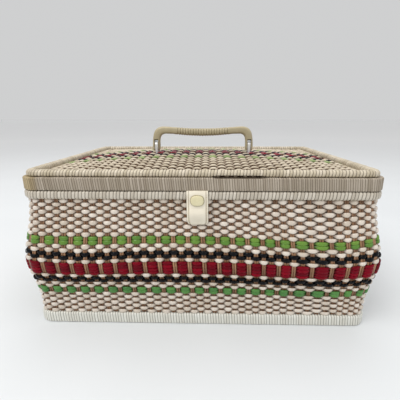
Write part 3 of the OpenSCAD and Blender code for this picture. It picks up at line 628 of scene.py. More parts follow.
def lid_uprights():
    L, R = 34, 6
    th = np.arange(R) / R * 2 * math.pi
    Vs, Fs, rn, dp, base = [], [], [], [], 0
    for i in range(1, LNX):
        for side in (-1, 1):
            r = np.random.RandomState(2000 + 2 * i + (side > 0))
            y = np.linspace(-(PY + 3), PY + 3, L)
            x0 = -(PX + 3) + i * LSP + side * 1.28
            x = x0 + 0.25 * np.sin(y / 23 + i)
            zc = top_z(x, y) - 2.9 - np.clip((np.abs(y) - (PY - 4)) / 6, 0, 1) * 1.0
            V = np.stack([np.stack([x + 1.2 * c, y, np.maximum(zc + 0.6 * q, 162.6)], -1) for c, q in zip(np.cos(th), np.sin(th))], 1)
            n = L * R
            Fs += [tuple(f) for f in grid_faces(L, R, base=base)] + [tuple(base + np.arange(R)[::-1]), tuple(base + n - R + np.arange(R))]
            Vs.append(V.reshape(-1, 3)); rn.append(np.full(n, r.uniform())); dp.append(np.full(n, 0.1)); base += n
    o = mesh_object("lid_uprights", np.concatenate(Vs), Fs, M["lid_stake"], attrs={"rnd": np.concatenate(rn), "deep": np.concatenate(dp)})
    recalc(o)
    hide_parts("lid_stakes"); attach(o, "lid")
lid_uprights()


# ------------------------------------------------------------------ closed shells for the fittings
class Bag:
    """Gathers closed shells into one mesh, in millimetres."""
    def __init__(self): self.V, self.F, self.n, self.rn = [], [], 0, []
    def add(self, VF, rnd=0.5):
        V, F = VF
        self.V.append(np.asarray(V, float)); self.F += [tuple(int(i) + self.n for i in f) for f in F]
        self.rn.append(np.full(len(V), rnd)); self.n += len(V)
        return self
    def make(self, name, mat, sharp=None, attrs=True):
        V = np.concatenate(self.V)
        o = mesh_object(name, V, self.F, mat, attrs={"rnd": np.concatenate(self.rn), "deep": np.zeros(len(V))} if attrs else None)
        recalc(o)
        if sharp: o.data.set_sharp_from_angle(angle=math.radians(sharp))
        return o

def loft(rings, loop=False, flat_caps=True):
    R = np.asarray(rings, float)
    n, m_ = R.shape[:2]
    F = [tuple(f) for f in grid_faces(n, m_, loop_n=loop)]
    if not loop: F += [tuple(np.arange(m_)[::-1]), tuple((n - 1) * m_ + np.arange(m_))]
    return R.reshape(-1, 3), F

def lathe(profile, o, a, seg=40, square=0.0, tall=1.0):
    """profile of (radius, height along a); it starts and ends on the axis. square makes the round slightly square."""
    a = np.array(a, float); a /= np.linalg.norm(a)
    u = np.cross(a, (0, 0, 1.0)) if abs(a[2]) < 0.9 else np.array((1.0, 0, 0)); u /= np.linalg.norm(u); v = np.cross(a, u)
    th = np.arange(seg) / seg * 2 * math.pi
    k = 1 + square * np.sin(2 * th) ** 2
    pts, rings = [], []
    F = []
    mid = profile[1:-1]
    V = [np.array(o) + a * profile[0][1]]
    for r, h in mid:
        for t, kk in zip(th, k): V.append(np.array(o) + a * h + (u * math.cos(t) + v * math.sin(t) * tall) * r * kk)
    V.append(np.array(o) + a * profile[-1][1])
    for j in range(seg): F.append((0, 1 + (j + 1) % seg, 1 + j))
    for i in range(len(mid) - 1):
        for j in range(seg):
            b0 = 1 + i * seg; b1 = b0 + seg
            F.append((b0 + j, b0 + (j + 1) % seg, b1 + (j + 1) % seg, b1 + j))
    b0 = 1 + (len(mid) - 1) * seg
    for j in range(seg): F.append((b0 + j, b0 + (j + 1) % seg, len(V) - 1))
    return np.array(V), F

def round_rect(hx, hy, r, k=4, n_side=1):
    out = []
    for cx, cy, a0 in ((1, 1, 0), (-1, 1, 90), (-1, -1, 180), (1, -1, 270)):
        for i in range(k + 1):
            a = math.radians(a0 + 90 * i / k)
            out.append((cx * (hx - r) + r * math.cos(a), cy * (hy - r) + r * math.sin(a)))
    return np.array(out)

def slab(cx, cy, hx, hy, r, z0, z1, c=0.25, k=4, order=(0, 1, 2)):
    """A plate with rounded corners and soft edges. order gives which axes its width, depth and height lie along."""
    rings = []
    for z, d in ((z0, c), (z0 + c * 0.3, c * 0.3), (z0 + c, 0), (z1 - c, 0), (z1 - c * 0.3, c * 0.3), (z1, c)):
        p = round_rect(hx - d, hy - d, max(r - d, 0.05), k)
        q = np.zeros((len(p), 3)); q[:, order[0]] = cx + p[:, 0]; q[:, order[1]] = cy + p[:, 1]; q[:, order[2]] = z
        rings.append(q)
    return loft(rings)

def catmull(P, n):
    """n points along a smooth line through P, evenly spaced by the chord."""
    P = np.asarray(P, float)
    Q = np.vstack([2 * P[0] - P[1], P, 2 * P[-1] - P[-2]])
    d = np.concatenate([[0], np.cumsum(np.linalg.norm(np.diff(P, axis=0), axis=1))])
    t = np.linspace(0, d[-1], n) if np.isscalar(n) else np.asarray(n) * d[-1]
    i = np.clip(np.searchsorted(d, t, side="right") - 1, 0, len(P) - 2)
    f = ((t - d[i]) / (d[i + 1] - d[i]))[:, None]
    a, b, c, e = Q[i], Q[i + 1], Q[i + 2], Q[i + 3]
    return 0.5 * (2 * b + (c - a) * f + (2 * a - 5 * b + 4 * c - e) * f ** 2 + (3 * b - a - 3 * c + e) * f ** 3)

def settle(ob):
    """Applies the modifiers on a piece."""
    dg = bpy.context.evaluated_depsgraph_get(); dg.update()
    me = bpy.data.meshes.new_from_object(ob.evaluated_get(dg))
    ob.modifiers.clear(); ob.data = me
    return ob

# ------------------------------------------------------------------ handle
PIV = 184.0
OUT = [(66.1, -7.4), (67, -5.5), (67, 0), (66.7, 5), (66.1, 10), (65.1, 14.5), (63.1, 18.6), (59.9, 21.6), (56, 23.2), (51.5, 23.6), (41.5, 23.1), (29.5, 22.2), (16.5, 21.4), (0, 21.1)]
INN = [(57.9, -7.4), (56.9, -5.5), (56.6, 0), (56.6, 4.2), (56.1, 8), (55.5, 10), (54.6, 11.6), (53.1, 12.9), (51.4, 13.6), (48.8, 14), (41, 13.7), (29.3, 12.6), (16.4, 11.6), (0, 11.1)]
def grip():
    A = np.array(OUT, float); B = np.array(INN, float)
    C = (A + B) / 2; H = (A - B) / 2
    both = np.hstack([C, H])
    d = np.concatenate([[0], np.cumsum(np.linalg.norm(np.diff(C, axis=0), axis=1))]); d /= d[-1]
    n = 230
    tt = np.linspace(0, 1, n)
    full = catmull(np.hstack([C, H]), n)
    right = full
    left = full[:-1][::-1] * np.array([-1, 1, -1, 1])
    allp = np.vstack([right, left])
    R = 32
    th = np.arange(R) / R * 2 * math.pi
    cc, ss = np.cos(th), np.sin(th)
    rings = []
    for k, (cx, cz, hx, hz) in enumerate(allp):
        ax = abs(cx); hw = math.hypot(hx, hz); e = (hx / hw, hz / hw)
        grip_zone = 1 - float(sstep(32.6, 36, ax)) if cz > 12 else 0.0
        ph = (cx + 1.72) / 3.44
        dist = abs(ph - round(ph)) * 3.44
        groove = 0.75 * math.exp(-(dist / 0.62) ** 2) * grip_zone
        puff = 0.16 * grip_zone
        ex = 2 / (3.0 - 0.75 * grip_zone)
        a = hw - groove + puff * 0.0 - 0.12 * (1 - grip_zone) ; b = 4.5 - groove - 0.1
        # a soft waist either side of the ribs
        waist = 0.35 * math.exp(-((ax - 39) / 3.2) ** 2)
        a -= waist * 0.6; b -= waist
        c2 = np.sign(cc) * np.abs(cc) ** ex; s2 = np.sign(ss) * np.abs(ss) ** ex
        rings.append(np.stack([cx + e[0] * a * c2, b * s2, PIV + cz + e[1] * a * c2], -1))
    rings = np.array(rings)
    def end(r0, zs, ins):
        cen = r0.mean(0); out = []
        for z, f in zip(zs, ins):
            r = cen + (r0 - cen) * f; r[:, 2] = PIV + z; out.append(r)
        return out
    first = end(rings[0], (-8.0, -7.85), (0.62, 0.86)); last = end(rings[-1], (-7.85, -8.0), (0.86, 0.62))
    V, F = loft(np.concatenate([first, rings, last]))
    o = mesh_object("handle_grip_ribbed", V, F, M["grip"])
    recalc(o)
    cut = Bag()
    for s_ in (-1, 1):
        p = slab(s_ * 61.8, 0, 2.6, 12, 0.4, PIV - 12, PIV + 5.2, 0.35)
        cut.add(p)
    c_o = cut.make("cutter", M["grip"], attrs=False)
    md = add_mod(o, "BOOLEAN", "slot", operation="DIFFERENCE", object=c_o, solver="EXACT")
    # the fork is hollowed a little higher in front and behind than through its middle
    cut2 = Bag()
    for s_ in (-1, 1):
        for t_ in (-1, 1):
            cut2.add(slab(s_ * 61.8, t_ * 6.9, 2.55, 5.5, 0.4, PIV - 2, PIV + 6.9, 0.35))
    c2_o = cut2.make("cutter_b", M["grip"], attrs=False)
    add_mod(o, "BOOLEAN", "pocket", operation="DIFFERENCE", object=c2_o, solver="EXACT")
    settle(o)
    bpy.data.objects.remove(c_o); bpy.data.objects.remove(c2_o)
    o.data.polygons.foreach_set("use_smooth", [True] * len(o.data.polygons))
    o.data.set_sharp_from_angle(angle=math.radians(38))
    o.data.materials.clear(); o.data.materials.append(M["grip"])
    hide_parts("handle_grip"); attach(o, "handle")
    b = Bag()
    for s_ in (-1, 1):
        b.add(lathe([(0, -3.7), (1.9, -3.7), (2.3, -3.3), (2.3, 3.3), (1.9, 3.7), (0, 3.7)], (s_ * 61.8, 0, PIV), (1, 0, 0), 28))
    b = b.make("handle_bars", M["grip"], 40, attrs=False)
    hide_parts("handle_grip"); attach(b, "handle")
grip()

def staples():
    bag = Bag()
    for s_ in (-1, 1):
        pts = [(-3.4, z) for z in np.linspace(-16.2, -1, 12)]
        pts += [(-3.4 * math.cos(a), 3.4 * math.sin(a)) for a in np.linspace(0, math.pi, 17)]
        pts += [(3.4, z) for z in np.linspace(-1, -16.2, 12)]
        pts = np.array(pts)
        tan = np.gradient(pts, axis=0); tan /= np.linalg.norm(tan, axis=1)[:, None]
        nrm = np.stack([-tan[:, 1], tan[:, 0]], -1)
        rings = []
        for (y, z), (ny_, nz_) in zip(pts, nrm):
            w_ = 2.05 - 0.6 * float(sstep(2, 11, -z))
            th = np.arange(20) / 20 * 2 * math.pi
            c2 = np.sign(np.cos(th)) * np.abs(np.cos(th)) ** 0.42; s2 = np.sign(np.sin(th)) * np.abs(np.sin(th)) ** 0.6
            rings.append(np.stack([s_ * 61.8 + w_ * c2, y + ny_ * 0.48 * s2, PIV + z + nz_ * 0.48 * s2], -1))
        bag.add(loft(rings))
    o = bag.make("handle_staple_loops", M["bright"], 50, attrs=False)
    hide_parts("handle_staples"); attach(o, "lid")
staples()

# ------------------------------------------------------------------ strap, cap and snap
LX, LY, LZ = -3.0, -128.4, 150.2
def bow(d): return 0.14 * d * (1 - d / 46)
BELLY = 2.5
def strap():
    path, kind = [], []
    for z in np.linspace(159.6, 151.9, 7): path.append((-119.8, z))
    for a in np.linspace(0, 90, 5)[1:]:
        path.append((-119.8 - 1.2 + 1.2 * math.cos(math.radians(a)), 151.75 - 1.2 * math.sin(math.radians(a))))
    for y in np.linspace(-122.2, -126.6, 5): path.append((y, 150.5))
    for a in np.linspace(12, 84, 6):
        path.append((-127.0 - 1.4 * math.sin(math.radians(a)), 149.15 + 1.35 * math.cos(math.radians(a))))
    for d in np.linspace(2.2, 33.2, 44):
        path.append((LY - bow(d) - BELLY * math.exp(-((d - 21.5) / 6.0) ** 2) + 1.5 * float(sstep(26, 34, d)), LZ - d))
    P = catmull(path, 150)
    tan = np.gradient(P, axis=0); tan /= np.linalg.norm(tan, axis=1)[:, None]
    N = np.stack([-tan[:, 1], tan[:, 0]], -1)
    # the outside of the strap is away from the wall, or below the tab
    N = -N if N[-30][0] > 0 else N
    xs = np.concatenate([np.linspace(-10.5, -9.9, 3), np.linspace(-9.5, -8.2, 8), np.linspace(-7.4, 7.4, 11), np.linspace(8.2, 9.5, 8), np.linspace(9.9, 10.5, 3)])
    xi = np.linspace(10.4, -10.4, 15)
    L = np.concatenate([[0], np.cumsum(np.linalg.norm(np.diff(P, axis=0), axis=1))])
    rings = []
    for k in range(len(P)):
        y, z = P[k]; ny_, nz_ = N[k]
        hang = float(sstep(149.5, 145, z)) if y < -127 else 0.0
        round_end = float(sstep(L[-1] - 5.0, L[-1], L[k]))
        narrow = 1 - 0.16 * (1 - math.sqrt(max(0.0, 1 - round_end ** 2)))
        thin = 1 - 0.5 * float(sstep(146.5, 150.2, z)) * float(sstep(-125.5, -127.2, y) if y > -127.2 else 1.0) if y < -125 else 1.0
        fl = 0.62 - 0.26 * hang
        def top(x):
            ax = abs(x)
            v = 0.62 + 0.12 * hang * (1 - (ax / 8.6) ** 4) if ax < 8.6 else fl
            v -= 0.34 * hang * math.exp(-((ax - 8.55) / 0.36) ** 2)      # the sewn line
            v += 0.07 * hang * math.exp(-((ax - 9.7) / 0.45) ** 2)
            v -= 0.45 * max(0.0, (ax - 10.0) / 0.5) ** 2
            return v * thin
        belly = BELLY * math.exp(-((150.2 - z - 21.5) / 6.0) ** 2) * hang
        o1 = [(LX + x * narrow + 0.012 * (150 - z) * hang, y + ny_ * top(x) + belly * max(0.0, (abs(x) / 10.5) ** 5) * 0.8, z + nz_ * top(x)) for x in xs]
        o2 = [(LX + x * narrow + 0.012 * (150 - z) * hang, y - ny_ * 0.5 + belly * max(0.0, (abs(x) / 10.5) ** 5) * 0.8, z - nz_ * 0.5) for x in xi]
        rings.append(o1 + o2)
    V, F = loft(rings)
    # deep: painted shade along the sewn lines and towards the curled bottom, and a painted shadow just under the cap
    ax_ = np.abs(np.concatenate([xs, xi])); outer_ = np.concatenate([np.ones(len(xs)), np.zeros(len(xi))])
    line = np.exp(-((ax_ - 8.5) / 0.5) ** 2) * outer_
    zr = P[:, 1]; hang_ = np.where(P[:, 0] < -127, 1.0, 0.0)
    dp_ = hang_[:, None] * (0.75 * line[None, :] + 0.28 * np.clip((122 - zr) / 5, 0, 1)[:, None] + 0.22 * np.exp(-((zr - 134.2) / 1.3) ** 2)[:, None] * (ax_ < 7)[None, :])
    o = mesh_object("latch_strap_vinyl", V, F, M["strap"], attrs={"rnd": np.full(len(V), 0.6), "deep": np.clip(dp_, 0, 1).ravel()})
    recalc(o)
    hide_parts("latch_strap", "strap_tab")
    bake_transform(o)
    # stitches along both edges of the hanging part
    bag = Bag()
    for sx in (-1, 1):
        run = np.arange(0, L[-1], 2.1)
        for q in run:
            k = int(np.searchsorted(L, q)); k2 = min(len(P) - 1, int(np.searchsorted(L, q + 1.35)))
            y0, z0 = P[k]; y1, z1 = P[k2]
            if z0 > 147.0 or y0 > -127 or z1 < 118.5 or k2 <= k: continue
            rr_ = []
            for f in np.linspace(0, 1, 5):
                y = y0 + (y1 - y0) * f; z = z0 + (z1 - z0) * f
                ny_, nz_ = N[k]
                w_ = 0.26 * math.sqrt(max(0.05, 1 - (2 * f - 1) ** 2)) + 0.04
                bel = BELLY * math.exp(-((150.2 - z - 21.5) / 6.0) ** 2) * (8.55 / 10.5) ** 5 * 0.8
                th = np.arange(6) / 6 * 2 * math.pi
                rr_.append(np.stack([LX + 0.012 * (150 - z) + sx * 8.55 + w_ * np.cos(th), y + bel + ny_ * (0.46 + w_ * np.sin(th) * 0.8), z + nz_ * (0.46 + w_ * np.sin(th) * 0.8)], -1))
            bag.add(loft(rr_))
    st = bag.make("latch_stitches", M["strap_thread"], attrs=False)
    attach(st, "latch")
strap()

def latch_bits():
    d = 8.6
    sl = 0.14 * (1 - 2 * d / 46)
    a = np.array([0, -1.0, sl * 1.0]); a /= np.linalg.norm(a)
    # the strap falls away forwards as it goes down, so its face looks slightly up
    o = np.array([LX, LY - bow(d), LZ - d])
    prof = [(0, 0.62), (6.2, 0.62), (6.7, 0.75), (6.85, 1.0), (6.85, 1.2), (6.72, 1.34), (6.58, 1.42), (6.5, 1.62), (6.38, 2.1), (6.0, 2.6), (5.3, 2.92), (3.7, 3.12), (1.9, 3.18), (0, 3.2)]
    cv = lathe(prof, o, a, 56, 0.07, 0.81)
    cap = Bag().add(cv).make("snap_cap_domed", M["cap"])
    # painted shade round the flange and the step under the dome
    dd = [0.5, 0.7, 0.8, 0.8, 0.8, 0.85, 1.0, 0.95, 0.5, 0.16, 0.0, 0.0, 0.0, 0.0]
    cap.data.attributes["deep"].data.foreach_set("value", np.array([dd[0]] + [dd[i] for i in range(1, 13) for _ in range(56)] + [0.0], np.float32))
    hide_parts("snap_cap"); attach(cap, "latch")
    b = -a
    so = Bag()
    prof = [(3.8, 0.64), (3.8, 0.9), (3.55, 1.03), (2.6, 1.03), (2.3, 0.95), (2.2, 0.8), (2.2, 0.64)]
    u = np.array([1.0, 0, 0]); v = np.cross(b, u)
    seg = 40
    rings = []
    for j in range(seg):
        t = j / seg * 2 * math.pi
        rings.append([o + b * h + (u * math.cos(t) + v * math.sin(t)) * r for r, h in prof])
    so.add(loft(rings, loop=True))
    so = so.make("snap_socket_ring", M["steel"], 45, attrs=False)
    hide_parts("snap_socket"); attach(so, "latch")
    st = Bag().add(lathe([(0, -0.6), (3.3, -0.6), (3.6, -0.3), (3.6, 0.2), (3.35, 0.34), (2.3, 0.4), (1.75, 0.52), (1.6, 0.66), (1.8, 0.78), (1.55, 0.92), (0, 0.95)], (LX, -127.02, LZ - d), (0, -1, 0), 40)).make("snap_stud_turned", M["steel"], 50, attrs=False)
    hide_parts("snap_stud"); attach(st, "basket")
    tk = Bag()
    for s_ in (-1, 1):
        tk.add(lathe([(0, -0.9), (1.0, -0.9), (1.65, 0.0), (1.7, 0.15), (1.45, 0.45), (0.8, 0.66), (0, 0.72)], (LX + s_ * 6, -119.25, 153.4), (0, 1, 0), 24))
    tk = tk.make("strap_tack_heads", M["steel"], attrs=False)
    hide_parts("strap_tacks"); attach(tk, "lid")
latch_bits()

# ------------------------------------------------------------------ hinges
HY = HD + 2.7
def hinges():
    bl, ll, pn, sb, sl = Bag(), Bag(), Bag(), Bag(), Bag()
    def leaf(bag, x, z0, z1, tabs, curl):
        bag.add(slab(x, (z0 + z1) / 2, 13, (z1 - z0) / 2, 1.6, HD + 0.1, HD + 1.1, 0.22, 5, (0, 2, 1)))
        for a, b in tabs:
            # the knuckle and the web that joins it to the leaf
            bag.add(lathe([(0, a), (2.0, a), (2.2, a + 0.25), (2.2, (a + b) / 2 - 0.01), (2.2, (a + b) / 2), (2.2, b - 0.25), (2.0, b), (0, b)], (x, HY, SEAM), (1, 0, 0), 36))
            w0, w1 = (SEAM - 2.2, SEAM - 0.3) if curl < 0 else (SEAM + 0.3, SEAM + 2.2)
            bag.add(slab(x + (a + b) / 2, (w0 + w1) / 2, (b - a) / 2 - 0.05, (w1 - w0) / 2, 0.25, HD + 0.2, HD + 2.6, 0.15, 2, (0, 2, 1)))
    def screw(bag, x, z, ang):
        bag.add(lathe([(0, 0.0), (1.1, 0.0), (1.2, 1.05), (2.0, 1.05), (2.1, 1.2), (2.08, 1.3), (0, 1.3)], (x, HD + 0.02, z), (0, 1, 0), 28))
        ca, sa = math.cos(ang), math.sin(ang)
        for sd in (-1, 1):
            rings = []
            for y, k in ((1.28, 1.0), (1.5, 0.9), (1.66, 0.72), (1.76, 0.45)):
                pts = []
                for j in range(13):
                    t = -math.pi / 2 + math.pi * j / 12
                    px = 0.28 + 2.05 * k * math.cos(t) * 0.86; pz = 2.05 * k * math.sin(t)
                    px, pz = sd * px, pz
                    pts.append((x + px * ca - pz * sa, HD + 0.02 + y, z + px * sa + pz * ca))
                rings.append(pts)
            bag.add(loft(rings))
    for s_ in (-1, 1):
        x = s_ * 110
        leaf(bl, x, SEAM - 8.2, SEAM - 1.9, [(-13, -4.75), (4.75, 13)], -1)
        leaf(ll, x, SEAM + 1.9, SEAM + 11.1, [(-4.4, 4.4)], 1)
        pn.add(lathe([(0, -13.6), (0.7, -13.6), (1.35, -13.45), (1.45, -13.15), (1.0, -13.02), (1.0, 13.02), (1.45, 13.15), (1.35, 13.45), (0.7, 13.6), (0, 13.6)], (x, HY, SEAM), (1, 0, 0), 24))
        for i, dx in enumerate((-8.5, 8.5)):
            screw(sb, x + dx, SEAM - 5.2, 0.5 + s_ * 0.9 + i)
            screw(sl, x + dx, SEAM + 7, 1.7 + s_ * 0.6 + i * 1.3)
    for bag, nm, cad, slot_, body in ((bl, "hinge_body_leaves", "hinge_leaves_body", "hinge_brass", "basket"), (ll, "hinge_lid_leaves", "hinge_leaves_lid", "hinge_brass", "lid"),
                                      (pn, "hinge_pin_rods", "hinge_pins", "pin_steel", "basket"), (sb, "hinge_body_screws", "hinge_screws_body", "hinge_brass", "basket"), (sl, "hinge_lid_screws", "hinge_screws_lid", "hinge_brass", "lid")):
        o = bag.make(nm, M["steel"] if bag is pn else M["brass"], 40, attrs=False)
        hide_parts(cad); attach(o, body)
hinges()

# ------------------------------------------------------------------ satin lining of the walls
def lining():
    hx, hy, r = 171.5, 118.5, 8.9
    per = 4 * (hx + hy) - 8 * r + 2 * math.pi * r
    n = 1180
    s_ = np.arange(n) * per / n
    w_ = smooth_noise(n, 2.0, 60, 77)
    # profile: outer face up, over the piped edge, down the inner face
    prof = [(0, 8.1), (0, 50), (0, 98), (0, 140), (0, 148.2), (-0.35, 149.0), (-1.0, 149.3), (-1.7, 149.1), (-2.25, 148.4), (-2.4, 147.5), (-2.2, 146.7), (-1.85, 146.2), (-1.95, 145.4), (-2.0, 142), (-2.0, 132), (-2.0, 118), (-2.0, 105), (-2.0, 92), (-2.0, 74), (-2.0, 56), (-2.0, 38), (-2.0, 22), (-2.0, 12), (-1.8, 8.1)]
    prof = np.array(prof)
    inner = (prof[:, 0] <= -1.8) & (prof[:, 1] < 146)
    phase = 2 * math.pi * s_ / 5.4 + w_
    pleat = (0.5 + 0.5 * np.sin(phase)) ** 1.6
    off = np.where(inner[None, :], -0.42 * pleat[:, None] * (1 - 0.5 * np.exp(-((prof[None, :, 1] - 75) / 60) ** 2)) , 0)
    bead = (~inner) & (prof[:, 0] < -0.3)
    off = off + np.where(bead[None, :], 0.05 * np.sin(2 * math.pi * s_ / 2.2)[:, None], 0)
    nn = prof[None, :, 0] + off
    x, y, nx, ny = outline(s_[:, None] + 0 * nn, hx + nn, hy + nn, np.maximum(r + nn, 0.5), hx, hy, r)
    V = np.stack([x, y, prof[None, :, 1] + 0 * x], -1).reshape(-1, 3)
    o = recalc(mesh_object("satin_wall_lining", V, grid_faces(n, len(prof), loop_n=True), M["satin"]))
    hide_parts("front_lining", "rear_lining", "left_lining", "right_lining"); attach(o, "basket")
lining()

# ------------------------------------------------------------------ quilted pads
def quilt(name, cad, body, hx, hy, r, nx_, ny_, k, z_flat, z_seam, z_limit, seed):
    """A quilted pad lying against z_flat. Its sewn lines are held at z_seam and the cloth between them is blown out towards z_limit."""
    sgn = 1.0 if z_seam > z_flat else -1.0
    hx_, hy_ = hx - 1.6, hy - 1.6
    X = np.linspace(-hx_, hx_, nx_ + 1); Y = np.linspace(-hy_, hy_, ny_ + 1)
    I, J = np.meshgrid(np.arange(nx_ + 1), np.arange(ny_ + 1), indexing="ij")
    PXY = np.stack([X[I], Y[J]], -1)
    rr_ = r - 1.6
    cx, cy = hx_ - rr_, hy_ - rr_
    dx = np.abs(PXY[..., 0]) - cx; dy = np.abs(PXY[..., 1]) - cy
    out = (dx > 0) & (dy > 0)
    mx = np.maximum(dx, dy); ln = np.hypot(dx, dy)
    f = np.where(out & (ln > 0), mx / np.maximum(ln, 1e-9), 1)
    PXY[..., 0] = np.where(out, np.sign(PXY[..., 0]) * (cx + dx * f * rr_ / rr_), PXY[..., 0])
    PXY[..., 1] = np.where(out, np.sign(PXY[..., 1]) * (cy + dy * f * rr_ / rr_), PXY[..., 1])
    ci, cj = I - nx_ // 2, J - ny_ // 2
    seam = (np.mod(ci + cj, k) == 0) | (np.mod(ci - cj, k) == 0)
    edge = (I == 0) | (J == 0) | (I == nx_) | (J == ny_)
    n = (nx_ + 1) * (ny_ + 1)
    a = np.minimum(np.mod(ci + cj, k), k - np.mod(ci + cj, k)) / (k / 2); b = np.minimum(np.mod(ci - cj, k), k - np.mod(ci - cj, k)) / (k / 2)
    start = z_seam + sgn * 0.45 * np.sqrt(np.clip(a * b, 0, 1)) * abs(z_limit - z_seam)
    start = np.where(edge, z_flat + (z_seam - z_flat) * 0.8, start)
    topv = np.concatenate([PXY.reshape(-1, 2), start.reshape(-1, 1)], 1)
    botv = np.concatenate([PXY.reshape(-1, 2) * 0.998, np.full((n, 1), z_flat)], 1)
    V = np.concatenate([topv, botv])
    F = [tuple(q) for q in grid_faces(nx_ + 1, ny_ + 1, loop_m=False)]
    F += [tuple(int(i) + n for i in q[::-1]) for q in F[:]]
    idx = lambda i, j: i * (ny_ + 1) + j
    per = [idx(i, 0) for i in range(nx_)] + [idx(nx_, j) for j in range(ny_)] + [idx(i, ny_) for i in range(nx_, 0, -1)] + [idx(0, j) for j in range(ny_, 0, -1)]
    for p, q in zip(per, per[1:] + per[:1]): F.append((p, q, q + n, p + n))
    # painted shade along the sewn lines and round the edge of the pad
    near_ = np.minimum(a, b) * (k / 2)
    drawn = np.clip(np.exp(-(near_ / 0.7) ** 2) + 0.8 * edge, 0, 1).ravel()
    o = mesh_object(name, V, F, M["satin"], attrs={"deep": np.concatenate([drawn, np.zeros(n)])})
    recalc(o)
    vg = o.vertex_groups.new(name="sewn")
    held = np.concatenate([(seam | edge).ravel(), np.ones(n, bool)])
    vg.add([int(i) for i in np.nonzero(held)[0]], 1.0, "REPLACE")
    rest = V.copy() * MM
    cl = o.modifiers.new("cloth", "CLOTH")
    st = cl.settings
    st.quality = 6; st.mass = 0.15; st.tension_stiffness = 12; st.compression_stiffness = 8; st.shear_stiffness = 5; st.bending_stiffness = 0.15
    st.use_pressure = True; st.uniform_pressure_force = 4.0; st.effector_weights.gravity = 0
    st.vertex_group_mass = "sewn"; st.shrink_min = -0.02
    cl.point_cache.frame_start = 1; cl.point_cache.frame_end = 20
    sc_ = bpy.context.scene
    for fr in range(1, 21): sc_.frame_set(fr)
    dg = bpy.context.evaluated_depsgraph_get()
    ev = o.evaluated_get(dg)
    co = np.zeros(len(V) * 3); ev.data.vertices.foreach_get("co", co); co = co.reshape(-1, 3)
    mv = co - rest
    ln = np.linalg.norm(mv, axis=1)
    cap_ = 0.005
    mv *= np.minimum(1, cap_ / np.maximum(ln, 1e-9))[:, None]
    co = rest + mv
    o.modifiers.clear()
    sc_.frame_set(1)
    lim = z_limit * MM
    z = co[:, 2]; zs_ = z_seam * MM; room = abs(lim - zs_)
    h_ = np.maximum(0, sgn * (z - zs_))
    topm = np.arange(len(V)) < n
    soft = room * (1 - np.exp(-h_ / (room * 0.75)))
    co[:, 2] = np.where(topm & (sgn * (z - zs_) > 0), zs_ + sgn * soft, z)
    o.data.vertices.foreach_set("co", co.astype(np.float32).ravel()); o.data.update()
    print("PAD", name, round(float(ln.max()) * 1000, 2), "mm most; height", round(float((co[:n, 2].max() - co[:n, 2].min()) * 1000), 2))
    add_mod(o, "SUBSURF", "smooth", levels=1, render_levels=1)
    settle(o)
    o.data.polygons.foreach_set("use_smooth", [True] * len(o.data.polygons))
    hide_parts(cad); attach(o, body)
    # the sewing: short stitches lying in the sewn lines
    bag = Bag()
    Zt = z_seam + sgn * 0.12
    R = np.random.RandomState(seed)
    step = (X[1] - X[0], Y[1] - Y[0])
    for i in range(nx_):
        for j in range(ny_):
            for (i0, j0, i1, j1), m_ in (((i, j, i + 1, j + 1), np.mod((i - nx_ // 2) - (j - ny_ // 2), k) == 0), ((i + 1, j, i, j + 1), np.mod((i + 1 - nx_ // 2) + (j - ny_ // 2), k) == 0)):
                if not m_ or min(i0, i1) < 1 or min(j0, j1) < 1 or max(i0, i1) > nx_ - 1 or max(j0, j1) > ny_ - 1: continue
                p = PXY[i0, j0]; q = PXY[i1, j1]
                d = (q - p) / np.linalg.norm(q - p); nrm_ = np.array([-d[1], d[0]])
                a_ = p + (q - p) * 0.16; b_ = p + (q - p) * 0.84
                rings = []
                for f_ in (0, 0.5, 1):
                    c_ = a_ + (b_ - a_) * f_
                    w_ = 0.28 if f_ == 0.5 else 0.1
                    rings.append([(c_[0] + nrm_[0] * w_ * math.cos(t), c_[1] + nrm_[1] * w_ * math.cos(t), Zt + w_ * math.sin(t)) for t in np.arange(5) / 5 * 2 * math.pi])
                bag.add(loft(rings))
    st_ = bag.make(name + "_stitching", M["thread"], attrs=False)
    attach(st_, body)
    # the piped edge
    zc = z_flat + (z_seam - z_flat) * 0.55
    per_ = 4 * (hx + hy) - 8 * r + 2 * math.pi * r
    m_n = 420
    ss = np.arange(m_n) * per_ / m_n
    th = np.arange(8) / 8 * 2 * math.pi
    rad = min(1.25, abs(z_seam - z_flat) * 0.52)
    nn = -1.35 + rad * np.cos(th)[None, :] + 0 * ss[:, None]
    x, y, nx2, ny2 = outline(ss[:, None] + 0 * nn, hx + nn, hy + nn, np.maximum(r + nn, 0.5), hx, hy, r)
    V = np.stack([x, y, zc + rad * np.sin(th)[None, :] + 0 * x], -1).reshape(-1, 3)
    pp = recalc(mesh_object(name + "_piping", V, grid_faces(m_n, 8, loop_n=True), M["piping"]))
    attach(pp, body)
    return o
quilt("floor_quilt", "floor_pad", "basket", 168.9, 115.9, 7, 72, 50, 10, 8.1, 9.5, 11.3, 61)
quilt("lid_quilt", "lid_pad", "lid", 171, 118, 10, 72, 50, 10, 160.8, 158.6, 155.6, 62)

